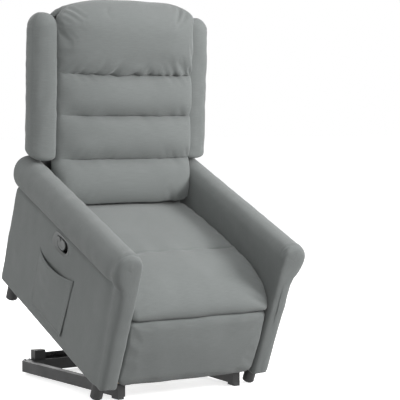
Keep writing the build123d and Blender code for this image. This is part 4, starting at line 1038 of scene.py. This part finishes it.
# ---------------------------------------------------------------- floor, light and camera
floor_mesh = bpy.data.meshes.new("floor")
floor_mesh.from_pydata([(-40, -40, -0.0005), (40, -40, -0.0005), (40, 40, -0.0005), (-40, 40, -0.0005)], [],
                       [(0, 1, 2, 3)])
floor = bpy.data.objects.new("floor", floor_mesh)
bpy.context.scene.collection.objects.link(floor)
floor_finish, _, floor_shader = nodes_of("pale_floor", (0.90, 0.90, 0.90), 0.9)
floor_shader.inputs["Emission Color"].default_value = (1, 1, 1, 1)
floor_shader.inputs["Emission Strength"].default_value = 0.66
floor.visible_diffuse = False
floor_mesh.materials.append(floor_finish)

world = bpy.data.worlds.new("studio")
bpy.context.scene.world = world
world.use_nodes = True
sky = world.node_tree.nodes["Background"]
sky.inputs["Color"].default_value = (1, 1, 1, 1)
seen = world.node_tree.nodes.new("ShaderNodeLightPath")
way = world.node_tree.nodes.new("ShaderNodeTexCoord")
height_of = world.node_tree.nodes.new("ShaderNodeSeparateXYZ")
glow = world.node_tree.nodes.new("ShaderNodeMapRange")
for socket, value in (("From Min", -0.5), ("From Max", 0.9), ("To Min", 0.20), ("To Max", 0.50)):
    glow.inputs[socket].default_value = value
strength = maths(world.node_tree, "MAXIMUM", seen.outputs["Is Camera Ray"], glow.outputs["Result"])
world.node_tree.links.new(way.outputs["Generated"], height_of.inputs["Vector"])
world.node_tree.links.new(height_of.outputs["Z"], glow.inputs["Value"])
world.node_tree.links.new(strength, sky.inputs["Strength"])


def softbox(name, place, aim, size, power):
    light = bpy.data.lights.new(name, "AREA")
    light.size = size
    light.energy = power
    lamp = bpy.data.objects.new(name, light)
    lamp.location = place
    lamp.rotation_euler = (Vector(aim) - Vector(place)).to_track_quat("-Z", "Y").to_euler()
    bpy.context.scene.collection.objects.link(lamp)


softbox("key_softbox", (3.2, -3.2, 2.3), (0, 0, 0.7), 1.6, 235)
softbox("front_fill", (-0.6, -4.6, 1.6), (0, 0, 0.6), 2.0, 55)
softbox("top_softbox", (0.4, -0.6, 3.6), (0, 0, 0.6), 1.6, 24)
softbox("left_fill", (-4.2, 0.8, 1.0), (0, 0, 0.5), 2.2, 62)
softbox("back_light", (0.8, 4.6, 2.4), (0, 0, 0.6), 2.2, 110)

EYE = Vector((-2.619, -4.352, 0.905))
AIM = Vector((0.230, 0.0185, 0.605))
camera_data = bpy.data.cameras.new("camera")
camera_data.lens = 137.4
camera_data.sensor_width = 36
camera = bpy.data.objects.new("camera", camera_data)
camera.location = EYE
camera.rotation_euler = (AIM - EYE).to_track_quat("-Z", "Y").to_euler()
camera_data.clip_end = 200
bpy.context.scene.collection.objects.link(camera)
bpy.context.scene.camera = camera
bpy.context.scene.view_settings.view_transform = "Standard"
